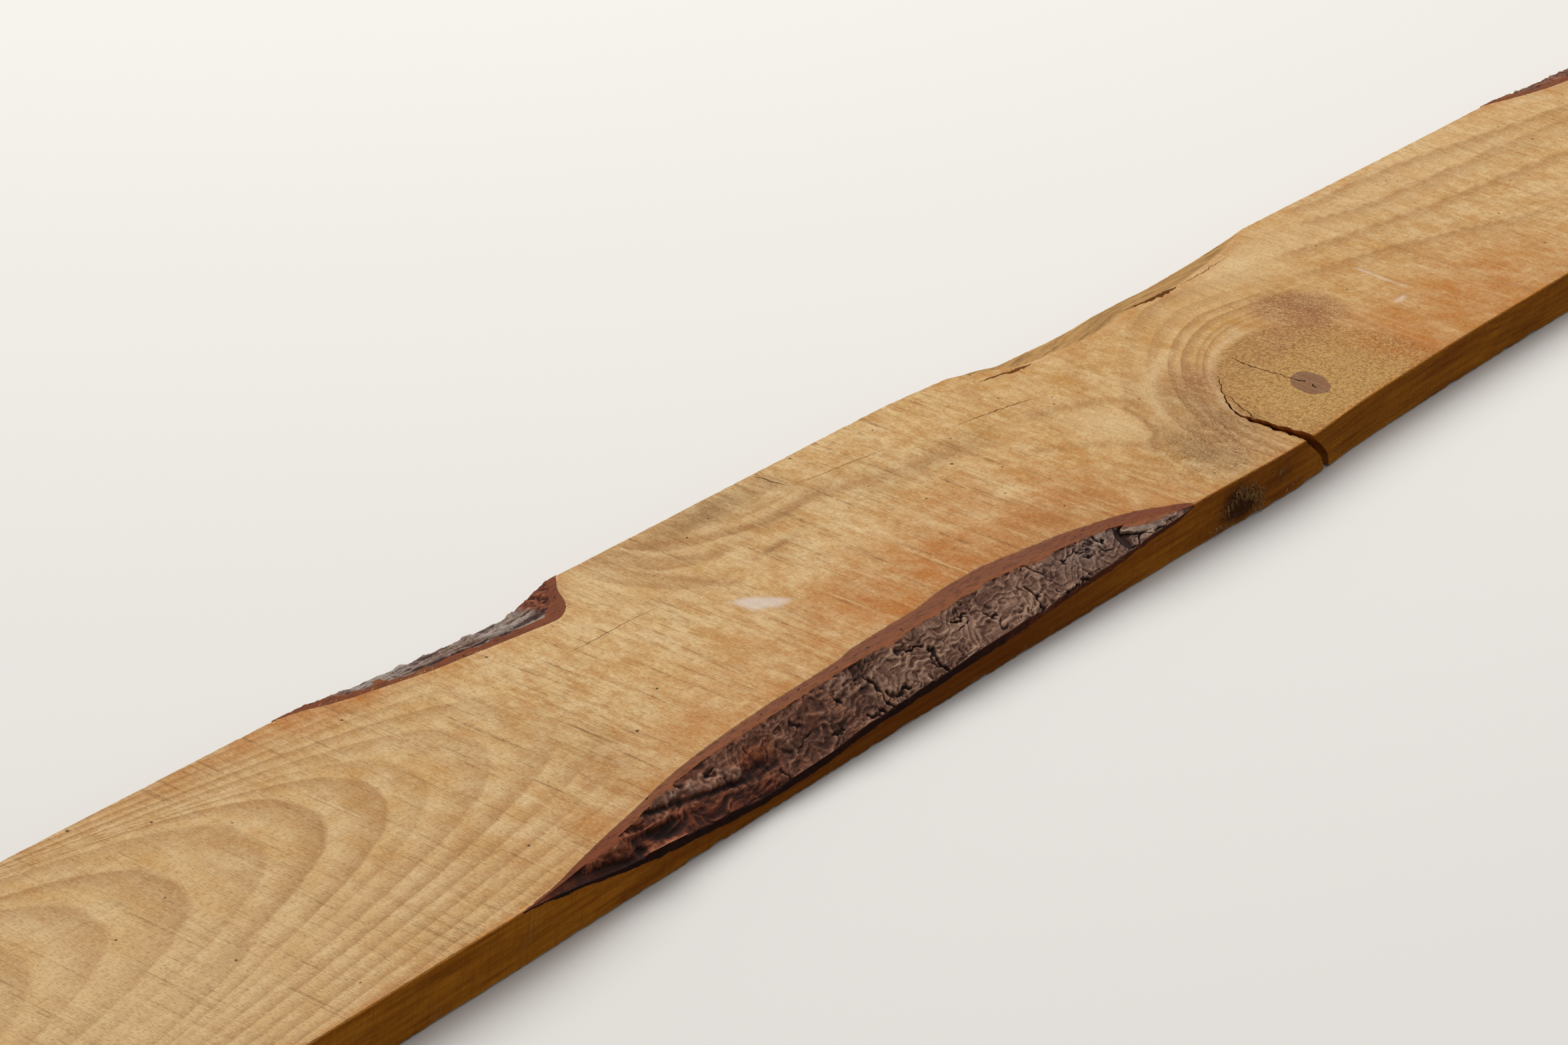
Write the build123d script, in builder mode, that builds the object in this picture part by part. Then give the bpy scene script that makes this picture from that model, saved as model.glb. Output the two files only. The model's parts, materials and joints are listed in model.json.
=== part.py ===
# A rough-sawn softwood plank, cut from just under the bark of the log.
# The saw left two flat faces and two sawn edges. Where the log was too narrow for the full width,
# its round outside, with bark on it, is still there instead of a sawn corner: that is the wane.
# A branch left a large knot at the near edge, and the plank cracked along that knot as it dried.
#
# The plank lies flat, with the heart of the log below it. X runs along it, Y across it from the near
# edge to the far edge, and Z up. The origin is at the middle of the underside. Places along the
# plank are given from its middle, and places across it as distances in from the full width.

from build123d import *
from math import cos, radians, sin, tan
import os

# Sawn size
length = 2400.0
width = 150.0
thickness = 25.0

# The saw wandered a little along both edges: (place along, distance in)
near_edge_waves = [(-780, 1.0), (-350, 3.0), (-60, 4.0), (150, 2.5), (235, 0.0), (310, 3.2), (430, 4.3), (800, 1.5)]
far_edge_waves = [(-820, 1.5), (-330, 0.3), (-60, 0.8), (110, 0.6), (190, 4.2), (440, 5.6), (640, 7.0), (960, 4.0)]
end_inset = 2.0
end_stretch = 150.0

# The round of the log at the upper corners: (place along, distance in at which it leaves the upper
# face, slope in degrees at which it falls from there to the edge). A distance below zero lies
# outside the plank, where the corner is fully sawn.
near_wane = [(-335, -9, 34), (-285, 1, 38), (-225, 14, 44), (-160, 23, 38), (-80, 25, 28), (0, 26, 21),
             (60, 22.5, 18), (110, 14, 17), (150, 3, 17), (190, -8, 17)]
far_notch = [(-320, -8, 20), (-272, 1, 21), (-224, 9.5, 22), (-176, 16.5, 22), (-128, 19, 22), (-80, 19, 22)]
far_dip = [(130, -5, 21), (170, 5, 21), (209, 20, 21), (250, 24, 21), (300, 21, 21), (345, 21, 21),
           (390, 14, 21), (435, 4, 21), (480, -5, 21)]
far_bark = [(640, -4, 21), (688, 3, 21), (730, 12, 21), (780, 18, 21), (860, 20, 21), (950, 15, 21),
            (1030, 3, 21), (1080, -6, 21)]
wane_overcut = 8.0

# The notch in the far edge ends abruptly, at a wall where the log swelled again: its place along,
# the turn of the wall seen from above and its slope in degrees, and its distance in
notch_end = -118.0
notch_end_inset = 12.0
notch_end_turn = 45.0
notch_end_slope = 55.0

# The drying crack round the knot: (along from its mouth, distance in, gap)
crack_place = 246.0
crack_path = [(0.0, -2.0, 4.0), (-2.2, 11.0, 3.4), (-4.5, 31.6, 2.4), (5.2, 47.8, 1.0), (21.2, 61.8, 0.3)]
# The knot narrows towards the heart of the log, so the crack leans along the plank as it goes down:
# (height as a part of the thickness, lean, shrinking of the path)
crack_levels = [(1.0, 0.0, 1.0), (0.62, 13.0, 0.92), (0.3, 22.0, 0.85), (0.0, 26.0, 0.8)]
crack_overcut = 2.0

# Splits along the grain near the far edge: (place along and distance in at both ends, gap)
edge_splits = [((176, 16.5), (212, 20.5), 2.2), ((299, 16.5), (347, 21.5), 4.5)]
split_depth = 10.0


def edge_line(waves, side):
    """Outline points of one sawn edge from end to end, on the near (-1) or far (+1) side."""
    end = length / 2
    places = [(x, side * (width / 2 - inset)) for x, inset in waves if abs(x) < end - end_stretch]
    corner = side * (width / 2 - end_inset)
    return [(-end, corner)] + places + [(end, corner)]


def log_round(stations, side, end_wall=None):
    """What lies outside the round of the log along one upper corner: a wedge lofted along the plank,
    and cut off at the end wall where there is one."""
    with BuildPart() as outside:
        for x, reach, slope in stations:
            fall = tan(radians(slope))
            inner = (side * (width / 2 - reach - wane_overcut), thickness + wane_overcut * fall)
            outer = (side * (width / 2 + wane_overcut), thickness - (reach + wane_overcut) * fall)
            with BuildSketch(Plane.YZ.offset(x)):
                with BuildLine():
                    Polyline(inner, outer, (outer[0], inner[1]), close=True)
                make_face()
        loft()
        if end_wall:
            split(bisect_by=end_wall, keep=Keep.BOTTOM)
    return outside.part


# The notch's end wall faces back along the plank and upwards
notch_wall = Plane(
    origin=(notch_end, width / 2 - notch_end_inset, thickness),
    x_dir=(cos(radians(notch_end_turn)), sin(radians(notch_end_turn)), 0),
    z_dir=(
        sin(radians(notch_end_turn)) * sin(radians(notch_end_slope)),
        -cos(radians(notch_end_turn)) * sin(radians(notch_end_slope)),
        -cos(radians(notch_end_slope)),
    ),
)

# The plank as sawn, before the log's round outside and the cracks are taken from it
with BuildPart() as plank:
    with BuildSketch():
        with BuildLine():
            near = Spline(*edge_line(near_edge_waves, -1))
            far = Spline(*edge_line(far_edge_waves, 1))
            Line(near @ 0, far @ 0)
            Line(near @ 1, far @ 1)
        make_face()
    extrude(amount=thickness)

    # Wane: barky on the near edge, in the notch and at the far end, and bare in the dip beside the knot
    add(log_round(near_wane, -1), mode=Mode.SUBTRACT)
    add(log_round(far_notch, 1, notch_wall), mode=Mode.SUBTRACT)
    add(log_round(far_dip, 1), mode=Mode.SUBTRACT)
    add(log_round(far_bark, 1), mode=Mode.SUBTRACT)

    # The crack goes right through, open at the near edge and closing to nothing round the knot
    for level, lean, shrink in crack_levels:
        rise = crack_overcut if level == 1 else -crack_overcut if level == 0 else 0
        with BuildSketch(Plane.XY.offset(thickness * level + rise)):
            with BuildLine():
                line = [(crack_place + lean + along * shrink, -width / 2 + inward * shrink, gap / 2)
                        for along, inward, gap in crack_path]
                left = Spline(*[(x - half, y) for x, y, half in line])
                right = Spline(*[(x + half, y) for x, y, half in line])
                Line(left @ 0, right @ 0)
                Line(left @ 1, right @ 1)
            make_face()
    loft(mode=Mode.SUBTRACT)

    # Splits: pointed at both ends, widest in the middle
    for (x0, inset0), (x1, inset1), gap in edge_splits:
        start = (x0, width / 2 - inset0)
        finish = (x1, width / 2 - inset1)
        middle = ((start[0] + finish[0]) / 2, (start[1] + finish[1]) / 2)
        with BuildSketch(Plane.XY.offset(thickness)):
            with BuildLine():
                ThreePointArc(start, (middle[0], middle[1] + gap / 2), finish)
                ThreePointArc(start, (middle[0], middle[1] - gap / 2), finish)
            make_face()
        extrude(amount=-split_depth, mode=Mode.SUBTRACT)

plank.part.label = "plank"

os.makedirs("parts", exist_ok=True)
export_step(plank.part, "parts/plank.step")
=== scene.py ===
import json
import math

import bpy
import numpy as np
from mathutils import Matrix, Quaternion, Vector

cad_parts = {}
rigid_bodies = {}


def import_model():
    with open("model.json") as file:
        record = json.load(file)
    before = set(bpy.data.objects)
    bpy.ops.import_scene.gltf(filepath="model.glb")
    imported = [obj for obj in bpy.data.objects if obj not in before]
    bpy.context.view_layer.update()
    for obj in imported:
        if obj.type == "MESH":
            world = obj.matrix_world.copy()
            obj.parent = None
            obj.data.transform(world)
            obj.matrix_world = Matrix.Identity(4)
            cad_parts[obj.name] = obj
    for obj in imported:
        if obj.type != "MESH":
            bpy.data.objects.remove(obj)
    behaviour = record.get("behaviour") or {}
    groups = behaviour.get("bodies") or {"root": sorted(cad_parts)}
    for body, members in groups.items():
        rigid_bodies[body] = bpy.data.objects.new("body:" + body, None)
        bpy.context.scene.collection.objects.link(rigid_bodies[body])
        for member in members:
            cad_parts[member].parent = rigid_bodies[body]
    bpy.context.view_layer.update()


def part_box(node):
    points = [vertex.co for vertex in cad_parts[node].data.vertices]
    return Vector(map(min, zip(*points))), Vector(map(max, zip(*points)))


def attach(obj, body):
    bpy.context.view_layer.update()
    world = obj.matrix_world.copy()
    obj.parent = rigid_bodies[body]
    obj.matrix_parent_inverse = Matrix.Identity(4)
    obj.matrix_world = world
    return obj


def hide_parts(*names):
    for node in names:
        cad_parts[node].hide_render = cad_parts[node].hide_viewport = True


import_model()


# Camera
# A long lens held at chest height looks down along the board from its near left, tipped a few degrees, so that the
# board crosses the picture from corner to corner. The lens's focal length and the picture's width are in pixels, and
# the three angles in degrees.
image_width = 2352
focal_length = 5874.35
eye = Vector((-1203.2, -753.4, 783.0)) / 1000
heading = 33.34
dip = 27.76
tip = 7.07

camera_data = bpy.data.cameras.new("camera")
camera_data.sensor_width = 36.0
camera_data.lens = camera_data.sensor_width * focal_length / image_width
camera_data.clip_start = 0.05
camera_data.clip_end = 50.0
camera = bpy.data.objects.new("camera", camera_data)
camera.rotation_mode = "QUATERNION"
camera.location = eye
gaze = Vector((
    math.cos(math.radians(heading)) * math.cos(math.radians(dip)),
    math.sin(math.radians(heading)) * math.cos(math.radians(dip)),
    -math.sin(math.radians(dip)),
))
camera.rotation_quaternion = gaze.to_track_quat("-Z", "Y") @ Quaternion((0, 0, 1), math.radians(tip))
bpy.context.scene.collection.objects.link(camera)
bpy.context.scene.camera = camera
bpy.context.scene.view_settings.view_transform = "Standard"


# Floor and light
# A plain pale floor. A broad soft lamp hangs over the far side of the board, and a dim even sky fills in, so the upper
# face is lit evenly and the near edge face lies in soft shade.
floor_half = 4.0
floor_colour = "#E6E2DB"
floor_bounce = "#4E3218"
sky_colour = "#F2F4F8"
sky_strength = 0.42
lamp_size = 3.2
lamp_place = Vector((0.9, 1.5, 3.0))
lamp_aim = Vector((0.1, 0.0, 0.0))
lamp_power = 115.0


def linear(colour):
    """Linear red, green, blue and an alpha of 1 from an sRGB hex colour."""
    parts = [int(colour[k:k + 2], 16) / 255 for k in (1, 3, 5)]
    return tuple(c / 12.92 if c <= 0.04045 else ((c + 0.055) / 1.055) ** 2.4 for c in parts) + (1.0,)


def add(tree, kind, inputs=None, stops=None, **settings):
    """Adds a shader node of this kind, sets its settings, and feeds each input a value, another node's output or the
    first live output of another node. A colour ramp also gets its stops, as (place, grey value or hex colour)."""
    made = tree.nodes.new("ShaderNode" + kind)
    for key, value in settings.items():
        setattr(made, key, value)
    for key, value in (inputs or {}).items():
        if isinstance(value, bpy.types.Node):
            value = next(output for output in value.outputs if output.enabled)
        if isinstance(value, bpy.types.NodeSocket):
            tree.links.new(value, made.inputs[key])
        else:
            made.inputs[key].default_value = value
    if stops:
        elements = made.color_ramp.elements
        while len(elements) < len(stops):
            elements.new(1.0)
        for element, (place, value) in zip(elements, stops):
            element.position = place
            element.color = linear(value) if isinstance(value, str) else (value, value, value, 1.0)
    return made


floor_mesh = bpy.data.meshes.new("floor")
floor_corners = [(floor_half * a, floor_half * b, 0) for a, b in ((-1, -1), (1, -1), (1, 1), (-1, 1))]
floor_mesh.from_pydata(floor_corners, [], [(0, 1, 2, 3)])
floor = bpy.data.objects.new("floor", floor_mesh)
bpy.context.scene.collection.objects.link(floor)

# Flat floor paint: matt, pale and even to the eye. The board is lit from below as by dull brown ground, so its edge
# face stays warm.
floor_paint = bpy.data.materials.new("pale floor paint")
floor_paint.use_nodes = True
tree = floor_paint.node_tree
tree.nodes.clear()
seen = add(tree, "LightPath")
shown = add(tree, "Mix", {0: seen.outputs["Is Camera Ray"], 6: linear(floor_bounce), 7: linear(floor_colour)},
            data_type="RGBA")
paint = add(tree, "BsdfPrincipled", {"Base Color": shown, "Roughness": 0.9})
add(tree, "OutputMaterial", {"Surface": paint})
floor_mesh.materials.append(floor_paint)

sky = bpy.data.worlds.new("even sky")
sky.use_nodes = True
bpy.context.scene.world = sky
backdrop = sky.node_tree.nodes["Background"]
backdrop.inputs["Color"].default_value = linear(sky_colour)
backdrop.inputs["Strength"].default_value = sky_strength

lamp_data = bpy.data.lights.new("broad lamp", "AREA")
lamp_data.shape = "SQUARE"
lamp_data.size = lamp_size
lamp_data.energy = lamp_power
lamp = bpy.data.objects.new("broad lamp", lamp_data)
lamp.location = lamp_place
lamp.rotation_mode = "QUATERNION"
lamp.rotation_quaternion = (lamp_aim - lamp_place).to_track_quat("-Z", "Y")
bpy.context.scene.collection.objects.link(lamp)


# Sawn board
# One pine board, sawn flat from the outside of a log with the heart below, so its edges keep the log's own round where
# the saw missed it. A branch was cut through as the big knot, and drying opened the cracks round it. All lengths here
# are in millimetres.
high = np.array(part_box("plank")[1]) * 1000
half_length = high[0]
half_width = 75.0
thickness = high[2]
arris = 0.6
# The upper face, low enough for the relief to stay inside the sawn thickness.
board_top = thickness - 0.3

# How far the near and far sides lie inside the sawn width, as (along, inset).
near_inset = [(-1200, 2.0), (-780, 1.0), (-350, 3.0), (-60, 4.0), (150, 2.5), (235, 0.0), (310, 3.2), (430, 4.3),
              (800, 1.5), (1200, 2.0)]
far_inset = [(-1200, 2.0), (-820, 1.5), (-330, 0.3), (-60, 0.8), (110, 0.6), (190, 4.2), (440, 5.6), (640, 7.0),
             (960, 4.0), (1200, 2.0)]

# Where wood meets bark, or bare round wood, on the upper face, as (along, across).
near_wood = [(-320, -80), (-300, -71.8), (-280, -69), (-260, -64.5), (-240, -60.5), (-220, -57), (-200, -53),
             (-180, -50), (-160, -48), (-140, -46.5), (-120, -45.5), (-80, -44.5), (-60, -42), (-20, -41.5),
             (0, -39.5), (20, -39), (40, -40.5), (60, -43.5), (80, -46.5), (100, -51), (120, -56), (140, -65),
             (152, -72), (170, -84)]
notch_wood = [(-295, 80), (-272, 74.4), (-258, 71.9), (-244, 67.3), (-214, 61.1), (-198, 58), (-181, 56),
              (-164, 53.9), (-146, 51.8), (-132, 50.5), (-124.5, 53), (-120, 56), (-114, 66), (-108, 71.8), (-103, 80)]
dip_wood = [(140, 80), (170, 70), (190, 62), (209, 54.5), (234, 52.6), (253, 50.8), (273, 51.6), (292, 54.0),
            (312, 54.5), (336, 53.8), (370, 57), (400, 62), (430, 69.5), (460, 80)]
end_wood = [(640, 82), (665, 71), (688, 67), (710, 62), (730, 58), (750, 55), (780, 52.5), (860, 50), (930, 53),
            (980, 60), (1030, 70), (1060, 80)]
# How far down the near edge face the wood is rounded away under the bark, as (along, down).
near_down = [(-320, 0), (-300, 0.6), (-270, 4.6), (-245, 9.4), (-221, 13.2), (-199, 15.2), (-177, 17.2), (-154, 19.0),
             (-115, 18.4), (-99, 16.6), (-81, 15.4), (-62, 14.8), (-24, 13.7), (14, 12.6), (50, 10.2), (87, 8.4),
             (104, 6.4), (128, 4.6), (140, 3.4), (152, 0.6), (170, 0)]
# The fall of the log's round, and the notch's steep end: its fall, and where its foot starts and how it slants across.
round_slope = math.tan(math.radians(21.5))
notch_end_slope = math.tan(math.radians(52))
notch_end_along, notch_end_across, notch_end_slant = -127.5, 50.5, 0.86

# The rings' arches left of the bark, by where their tips lie, with the ring's number; the line that the tips follow;
# and the branch knot's outline and its pith.
arch_tips = [(-1200, -8), (-1000, -7), (-830, -6), (-700, -5), (-600, -4), (-530, -3), (-480, -2), (-440, -1),
             (-406, 0), (-371, 1), (-332, 2), (-304, 3), (-277, 4), (-258, 5), (-225, 6), (-195, 6.8), (-170, 7.4),
             (-150, 7.9), (-90, 9.2), (0, 11), (120, 13), (1200, 30)]
tip_line = [(-1200, 10), (-700, 24), (-500, 31), (-406, 31), (-371, 27), (-332, 28), (-304, 25), (-277, 20),
            (-225, 16), (0, 10)]
near_arm, far_arm, arm_power = 7.2, 6.3, 0.41
knot_middle = (316.0, -60.0)
knot_reach = (77.0, 60.0, 62.0)
knot_rings = [(0.0, -9), (0.98, 0), (1.05, 1), (1.10, 2), (1.21, 3), (1.31, 4), (1.47, 5), (1.68, 6), (2.05, 7),
              (2.4, 8), (4.0, 12)]
swing_middle = (318.0, -80.0)
swing_reach = (84.0, 90.0)
pith = (297.0, -45.3)
pith_turn = (0.82, 0.57)
pith_stretch = (1.13, 0.88)
curl_middle = (12.0, 108.0)
curl_stretch = 1.45
curl_spacing = 9.5
ring_depth = 3.4
# Where the arches end and where the rings that wrap the knot begin, along the board.
arches_end, wrap_start = -175, 150
# The red shade beside the knot: its middle, its reach along, to the far side and to the near side, and its lean.
shade_middle = (366, 2)
shade_reach = (27, 19, 24)
shade_lean = 0.25
# Lines of the figure, each as its width, its strength and its points, and the ring edges right of the knot.
brown_lines = [
    (2.8, 0.6, [(-88, 72), (-84, 61), (-79, 52), (-72, 40), (-63, 27), (-55, 20)]),
    (2.8, 0.5, [(-75, 72), (-66, 56), (-48, 43), (-39, 40)]),
    (2.6, 0.45, [(-66, 69), (-39, 54), (-6, 43), (12, 43), (43, 52)]),
    (3.2, 0.4, [(25, 45), (80, 33), (130, 21)]),
    (2.0, 0.8, [(207, 0), (206, -2), (203, -12), (197, -23), (183, -30)]),
    (3.0, 0.5, [(165, 23), (185.5, 17.5), (197, 13), (206, 8.4), (213, 3.4), (213, -3)]),
    (2.6, 0.45, [(140, 2), (152, -4.5), (163, -11), (173, -17), (179, -25), (182, -34)]),
    (4.0, 0.5, [(242, -23), (248, -13), (257, -3), (268, 3)]), (1.4, 0.7, [(-26, 28), (-12, 28)]),
    (1.1, 0.5, [(470, 12), (478, -70)]), (1.1, 0.35, [(528, 14), (534, -70)]), (1.1, 0.4, [(592, 10), (597, -70)])]
pale_lines = [
    (3.2, 0.9, [(213, -17), (227, -2), (243, 8), (260, 15), (273, 17)]),
    (1.8, 0.9, [(237, -47), (246, -28), (264, -10), (290, 2), (318, 7)]),
    (1.6, 0.5, [(229, -40), (238, -20), (256, -3)]), (2.2, 0.4, [(-30, 12), (106, -6)])]
ring_edges = [[(400, 40), (418, 38), (464, 29), (527, 20), (655, 7), (760, -4)],
              [(385, 24), (400, 21), (445, 12), (482, 3), (536, -13), (600, -30)],
              [(445, 54), (460, 52), (504, 42), (655, 32), (780, 20)],
              [(455, 66), (470, 64), (564, 58), (690, 41), (800, 30)]]
# Soft patches of stain and wear, each as its middle (along, across), its reach both ways and its strength. The
# furry ones lie on the near edge face, so theirs are along and up: torn fur there, darkened with painted shade under
# the hanging fibres.
patches = {
    "orange": [(-290, 70, 60, 6, 0.7), (-5, -24, 95, 23, 0.95), (-18, -37, 34, 9, 0.4), (30, -30, 40, 14, 0.4),
               (455, -52, 85, 34, 0.95), (374, -52, 20, 30, 0.9), (-165, -36, 60, 14, 0.5), (-4, -30, 50, 10, 0.3),
               (85, 5, 60, 14, 0.35), (-245, 64, 34, 8, 0.8), (-235, -52, 40, 9, 0.4), (105, -38, 46, 24, 0.8),
               (150, -62, 26, 14, 0.6)],
    "brown": [(-22, 66, 36, 9, 0.9), (16, 44, 50, 5, 0.35), (95, 30, 60, 8, 0.45), (-18, 28, 16, 2.5, 0.6),
              (252, -10, 26, 9, 0.4), (235, -33, 14, 26, 0.45), (25, 64, 4, 8, 0.5), (197, -50, 11, 19, 0.95),
              (90, -42, 44, 16, 0.3), (-200, -26, 16, 22, 0.28), (4, 64, 26, 8, 0.4), (231, -42, 7, 14, 0.4)],
    "red": [(254, -10, 17, 12, 0.9), (220, -46, 19, 22, 0.6), (330, -12, 38, 14, 0.65)],
    "pale": [(186, -6, 16, 17, 1.05), (-104, 56, 16, 16, 0.6), (470, 48, 70, 16, 0.4), (600, 45, 90, 20, 0.4),
             (-425, -22, 80, 46, 0.6), (385, 47, 40, 13, 0.9)],
    "chalk": [(431.5, -8, 2.2, 18, 0.8), (416, -28, 9, 2.6, 0.75), (436, 62, 8, 7, 0.45), (432, 40, 2.5, 8, 0.35)],
    "torn": [(193, -56, 19, 24, 1.1), (218, -44, 22, 26, 0.75), (236, -20, 12, 20, 0.5), (160, -48, 24, 22, 0.35),
             (372, 2, 20, 18, 0.4), (310, -40, 46, 34, 0.3)],
    "curl": [(-74, 56, 27, 34, 1.1), (2, 48, 44, 8, 1.0)],
    "furry_and_shade": [(193, 8, 17, 7, 1.0), (184, 17, 10, 6, 0.6), (225, 14, 12, 6, 0.4)],
}
# The outline of one chalky patch, clockwise.
chalk_patch = [(-72, 14), (-63, 12), (-55, 5), (-48, -4), (-61, -3), (-70, 2)]


def smooth_line(points, x):
    """Value at each x of a smooth line through points (x, value): cubics whose slope at a point is the harmonic mean
    of the slopes beside it, so the line never swings past its points."""
    px, py = np.array(points, float).T
    steps = np.diff(px)
    slopes = np.diff(py) / steps
    before, after = slopes[:-1], slopes[1:]
    same_way = before * after > 0
    inner = np.where(same_way, 2 * before * after / np.where(same_way, before + after, 1), 0)
    m = np.concatenate([slopes[:1], inner, slopes[-1:]])
    i = np.clip(np.searchsorted(px, x, side="right") - 1, 0, len(px) - 2)
    h = steps[i]
    t = np.clip((x - px[i]) / h, 0, 1)
    return ((2 * t**3 - 3 * t**2 + 1) * py[i] + (t**3 - 2 * t**2 + t) * h * m[i]
            + (3 * t**2 - 2 * t**3) * py[i + 1] + (t**3 - t**2) * h * m[i + 1])


def lumps(x, y, size, seed):
    """Soft random lumps from -1 to 1: random heights on a square lattice of this size, eased between its corners."""
    lattice = np.random.default_rng(seed).uniform(-1, 1, (256, 256))
    u, v = x / size, y / size
    i, j = np.floor(u).astype(int), np.floor(v).astype(int)
    f, g = u - i, v - j
    f, g = f * f * (3 - 2 * f), g * g * (3 - 2 * g)
    near_row = lattice[i % 256, j % 256] * (1 - f) + lattice[(i + 1) % 256, j % 256] * f
    far_row = lattice[i % 256, (j + 1) % 256] * (1 - f) + lattice[(i + 1) % 256, (j + 1) % 256] * f
    return near_row * (1 - g) + far_row * g


def mound(x, y, x0, y0, reach_x, reach_y):
    """A soft round patch: 1 in its middle and falling as a bell curve, with these half widths along and across."""
    return np.exp(-(((x - x0) / reach_x) ** 2 + ((y - y0) / reach_y) ** 2))


def far_round(x, y):
    """How far the far side's round wood lies below the upper face: a slope that falls from the line where the wood's
    own round begins, and in the notch also a steep wall that faces back along the board."""
    notch = np.clip(y - smooth_line(notch_wood, x), 0, None) * round_slope
    wall_line = notch_end_along + (y - notch_end_across) * notch_end_slant
    notch = np.minimum(notch, np.clip(wall_line - x, 0, None) * notch_end_slope)
    dip = np.clip(y - smooth_line(dip_wood, x), 0, None) * round_slope
    end = np.clip(y - smooth_line(end_wood, x), 0, None) * round_slope
    return np.where(x < 0, notch, np.maximum(dip, end))


def mounds(x, y, spots):
    """The sum of soft mounds, each given as its middle, its reach both ways and its strength."""
    return sum(force * mound(x, y, *spot) for *spot, force in spots)


def patched(name, x, y):
    """Strength of the named patches at a point, from 0 to 1. The torn ones lie beside the knot, where the saw met
    grain that stands on end."""
    return np.clip(mounds(x, y, patches[name]), 0, 1)


# Places along the board where the shape is worked out: close together in the stretch with bark and knot.
places = np.unique(np.concatenate([np.arange(-half_length, -440, 9.0), np.arange(-440, 800, 2.25),
                                   np.arange(800, half_length, 9.0), [half_length]]))
X = places[:, None]
near_side = -half_width + smooth_line(near_inset, X)
far_side = half_width - smooth_line(far_inset, X)
ragged = 0.25 * lumps(X, 0 * X, 1.9, 11) + 0.2 * lumps(X, 0 * X, 6.0, 12)
near_top = np.maximum(near_side + arris + np.abs(ragged), smooth_line(near_wood, X))
far_top = np.minimum.reduce([far_side - arris - np.abs(ragged), smooth_line(notch_wood, X), smooth_line(dip_wood, X),
                             smooth_line(end_wood, X)])
near_low = thickness - np.maximum(arris + np.abs(ragged), smooth_line(near_down, X))

# Points round the board: over the upper face, each rounded band, each side face and the underside.
top_count, band_count, side_count, floor_count = 58, 9, 11, 16


def share(count):
    """Even steps from 0 up to, but not reaching, 1."""
    return np.linspace(0, 1, count, endpoint=False)[None, :]


t = share(top_count)
top_y = near_top + (far_top - near_top) * t
wash = 0.03 * lumps(X + 0.03 * top_y, top_y * 0.04, 5.1, 21) + 0.05 * lumps(X, top_y * 0.02, 13.0, 22)
swell = 0.10 * lumps(X, top_y, 60.0, 23)
tear = patched("torn", X, top_y) * (0.45 * lumps(X, top_y * 1.6, 4.5, 24) - 0.35)
top_z = board_top + wash + swell + tear

t = share(band_count)
far_y = far_top + (far_side - far_top) * t
far_z = board_top - np.maximum(far_round(X, far_y), t * (arris + np.abs(ragged)))
furrow = np.clip((far_side - far_top) / 6.0, 0, 1) * np.minimum(t * 4, 1)
furrow = furrow * (0.5 * lumps(X * 0.08, far_y * 1.3, 2.2, 31) + 0.25 * lumps(X * 0.2, far_y * 2, 1.7, 32) - 0.4)
far_z = far_z + furrow

t = share(side_count)
far_low = np.minimum(far_z[:, -1:], board_top - far_round(X, far_side) - arris)
side_z = far_low + (0.7 - far_low) * t
side_wear = 0.12 * lumps(X, side_z * 0.3, 2.6, 33) + 0.12 * lumps(X, side_z, 14.0, 34)
side_y = far_side - 0.15 + side_wear

t = share(floor_count)
floor_y = (far_side - 0.6) + (near_side + 0.6 - (far_side - 0.6)) * t
floor_z = np.zeros(floor_y.shape)

t = share(side_count)
chips = 0.5 + 0.5 * np.abs(lumps(X, 0 * X, 2.2, 37)) + 1.6 * np.clip(lumps(X, 0 * X, 6.5, 38) - 0.35, 0, 1)
near_z = chips + (near_low - chips) * t
near_wear = 0.12 * lumps(X, near_z * 0.3, 2.6, 35) + 0.12 * lumps(X, near_z, 14.0, 36)
near_y = near_side + 0.2 + near_wear

t = share(band_count)
band_y = near_side + 0.2 + (near_top - near_side - 0.2) * t
bulge = 4 * t * (1 - t) * np.clip((near_top - near_side) / 30, 0, 1) * 0.6
band_z = near_low + (board_top - near_low) * t + bulge

across = np.concatenate([top_y, far_y, side_y, floor_y, near_y, band_y], axis=1)
upward = np.concatenate([top_z, far_z, side_z, floor_z, near_z, band_z], axis=1)
along = np.broadcast_to(X, across.shape)
rings_of_points = np.stack([along, across, upward], axis=2)


def capped(loops):
    """Closes a tube's two ends: each end loop is repeated four times, drawn in towards a short line in its middle that
    ends half a thickness from either side."""
    reach = half_width - 13
    ends = []
    for loop in (loops[0], loops[-1]):
        middle = np.stack([loop[:, 0], np.clip(loop[:, 1], -reach, reach),
                           np.where(loop[:, 2] > thickness / 2, 0.5, -0.5) + thickness / 2], axis=1)
        ends.append([loop + (middle - loop) * s for s in (0.25, 0.5, 0.75, 1.0)])
    return np.concatenate([np.array(ends[0][::-1]), loops, np.array(ends[1])])


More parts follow.
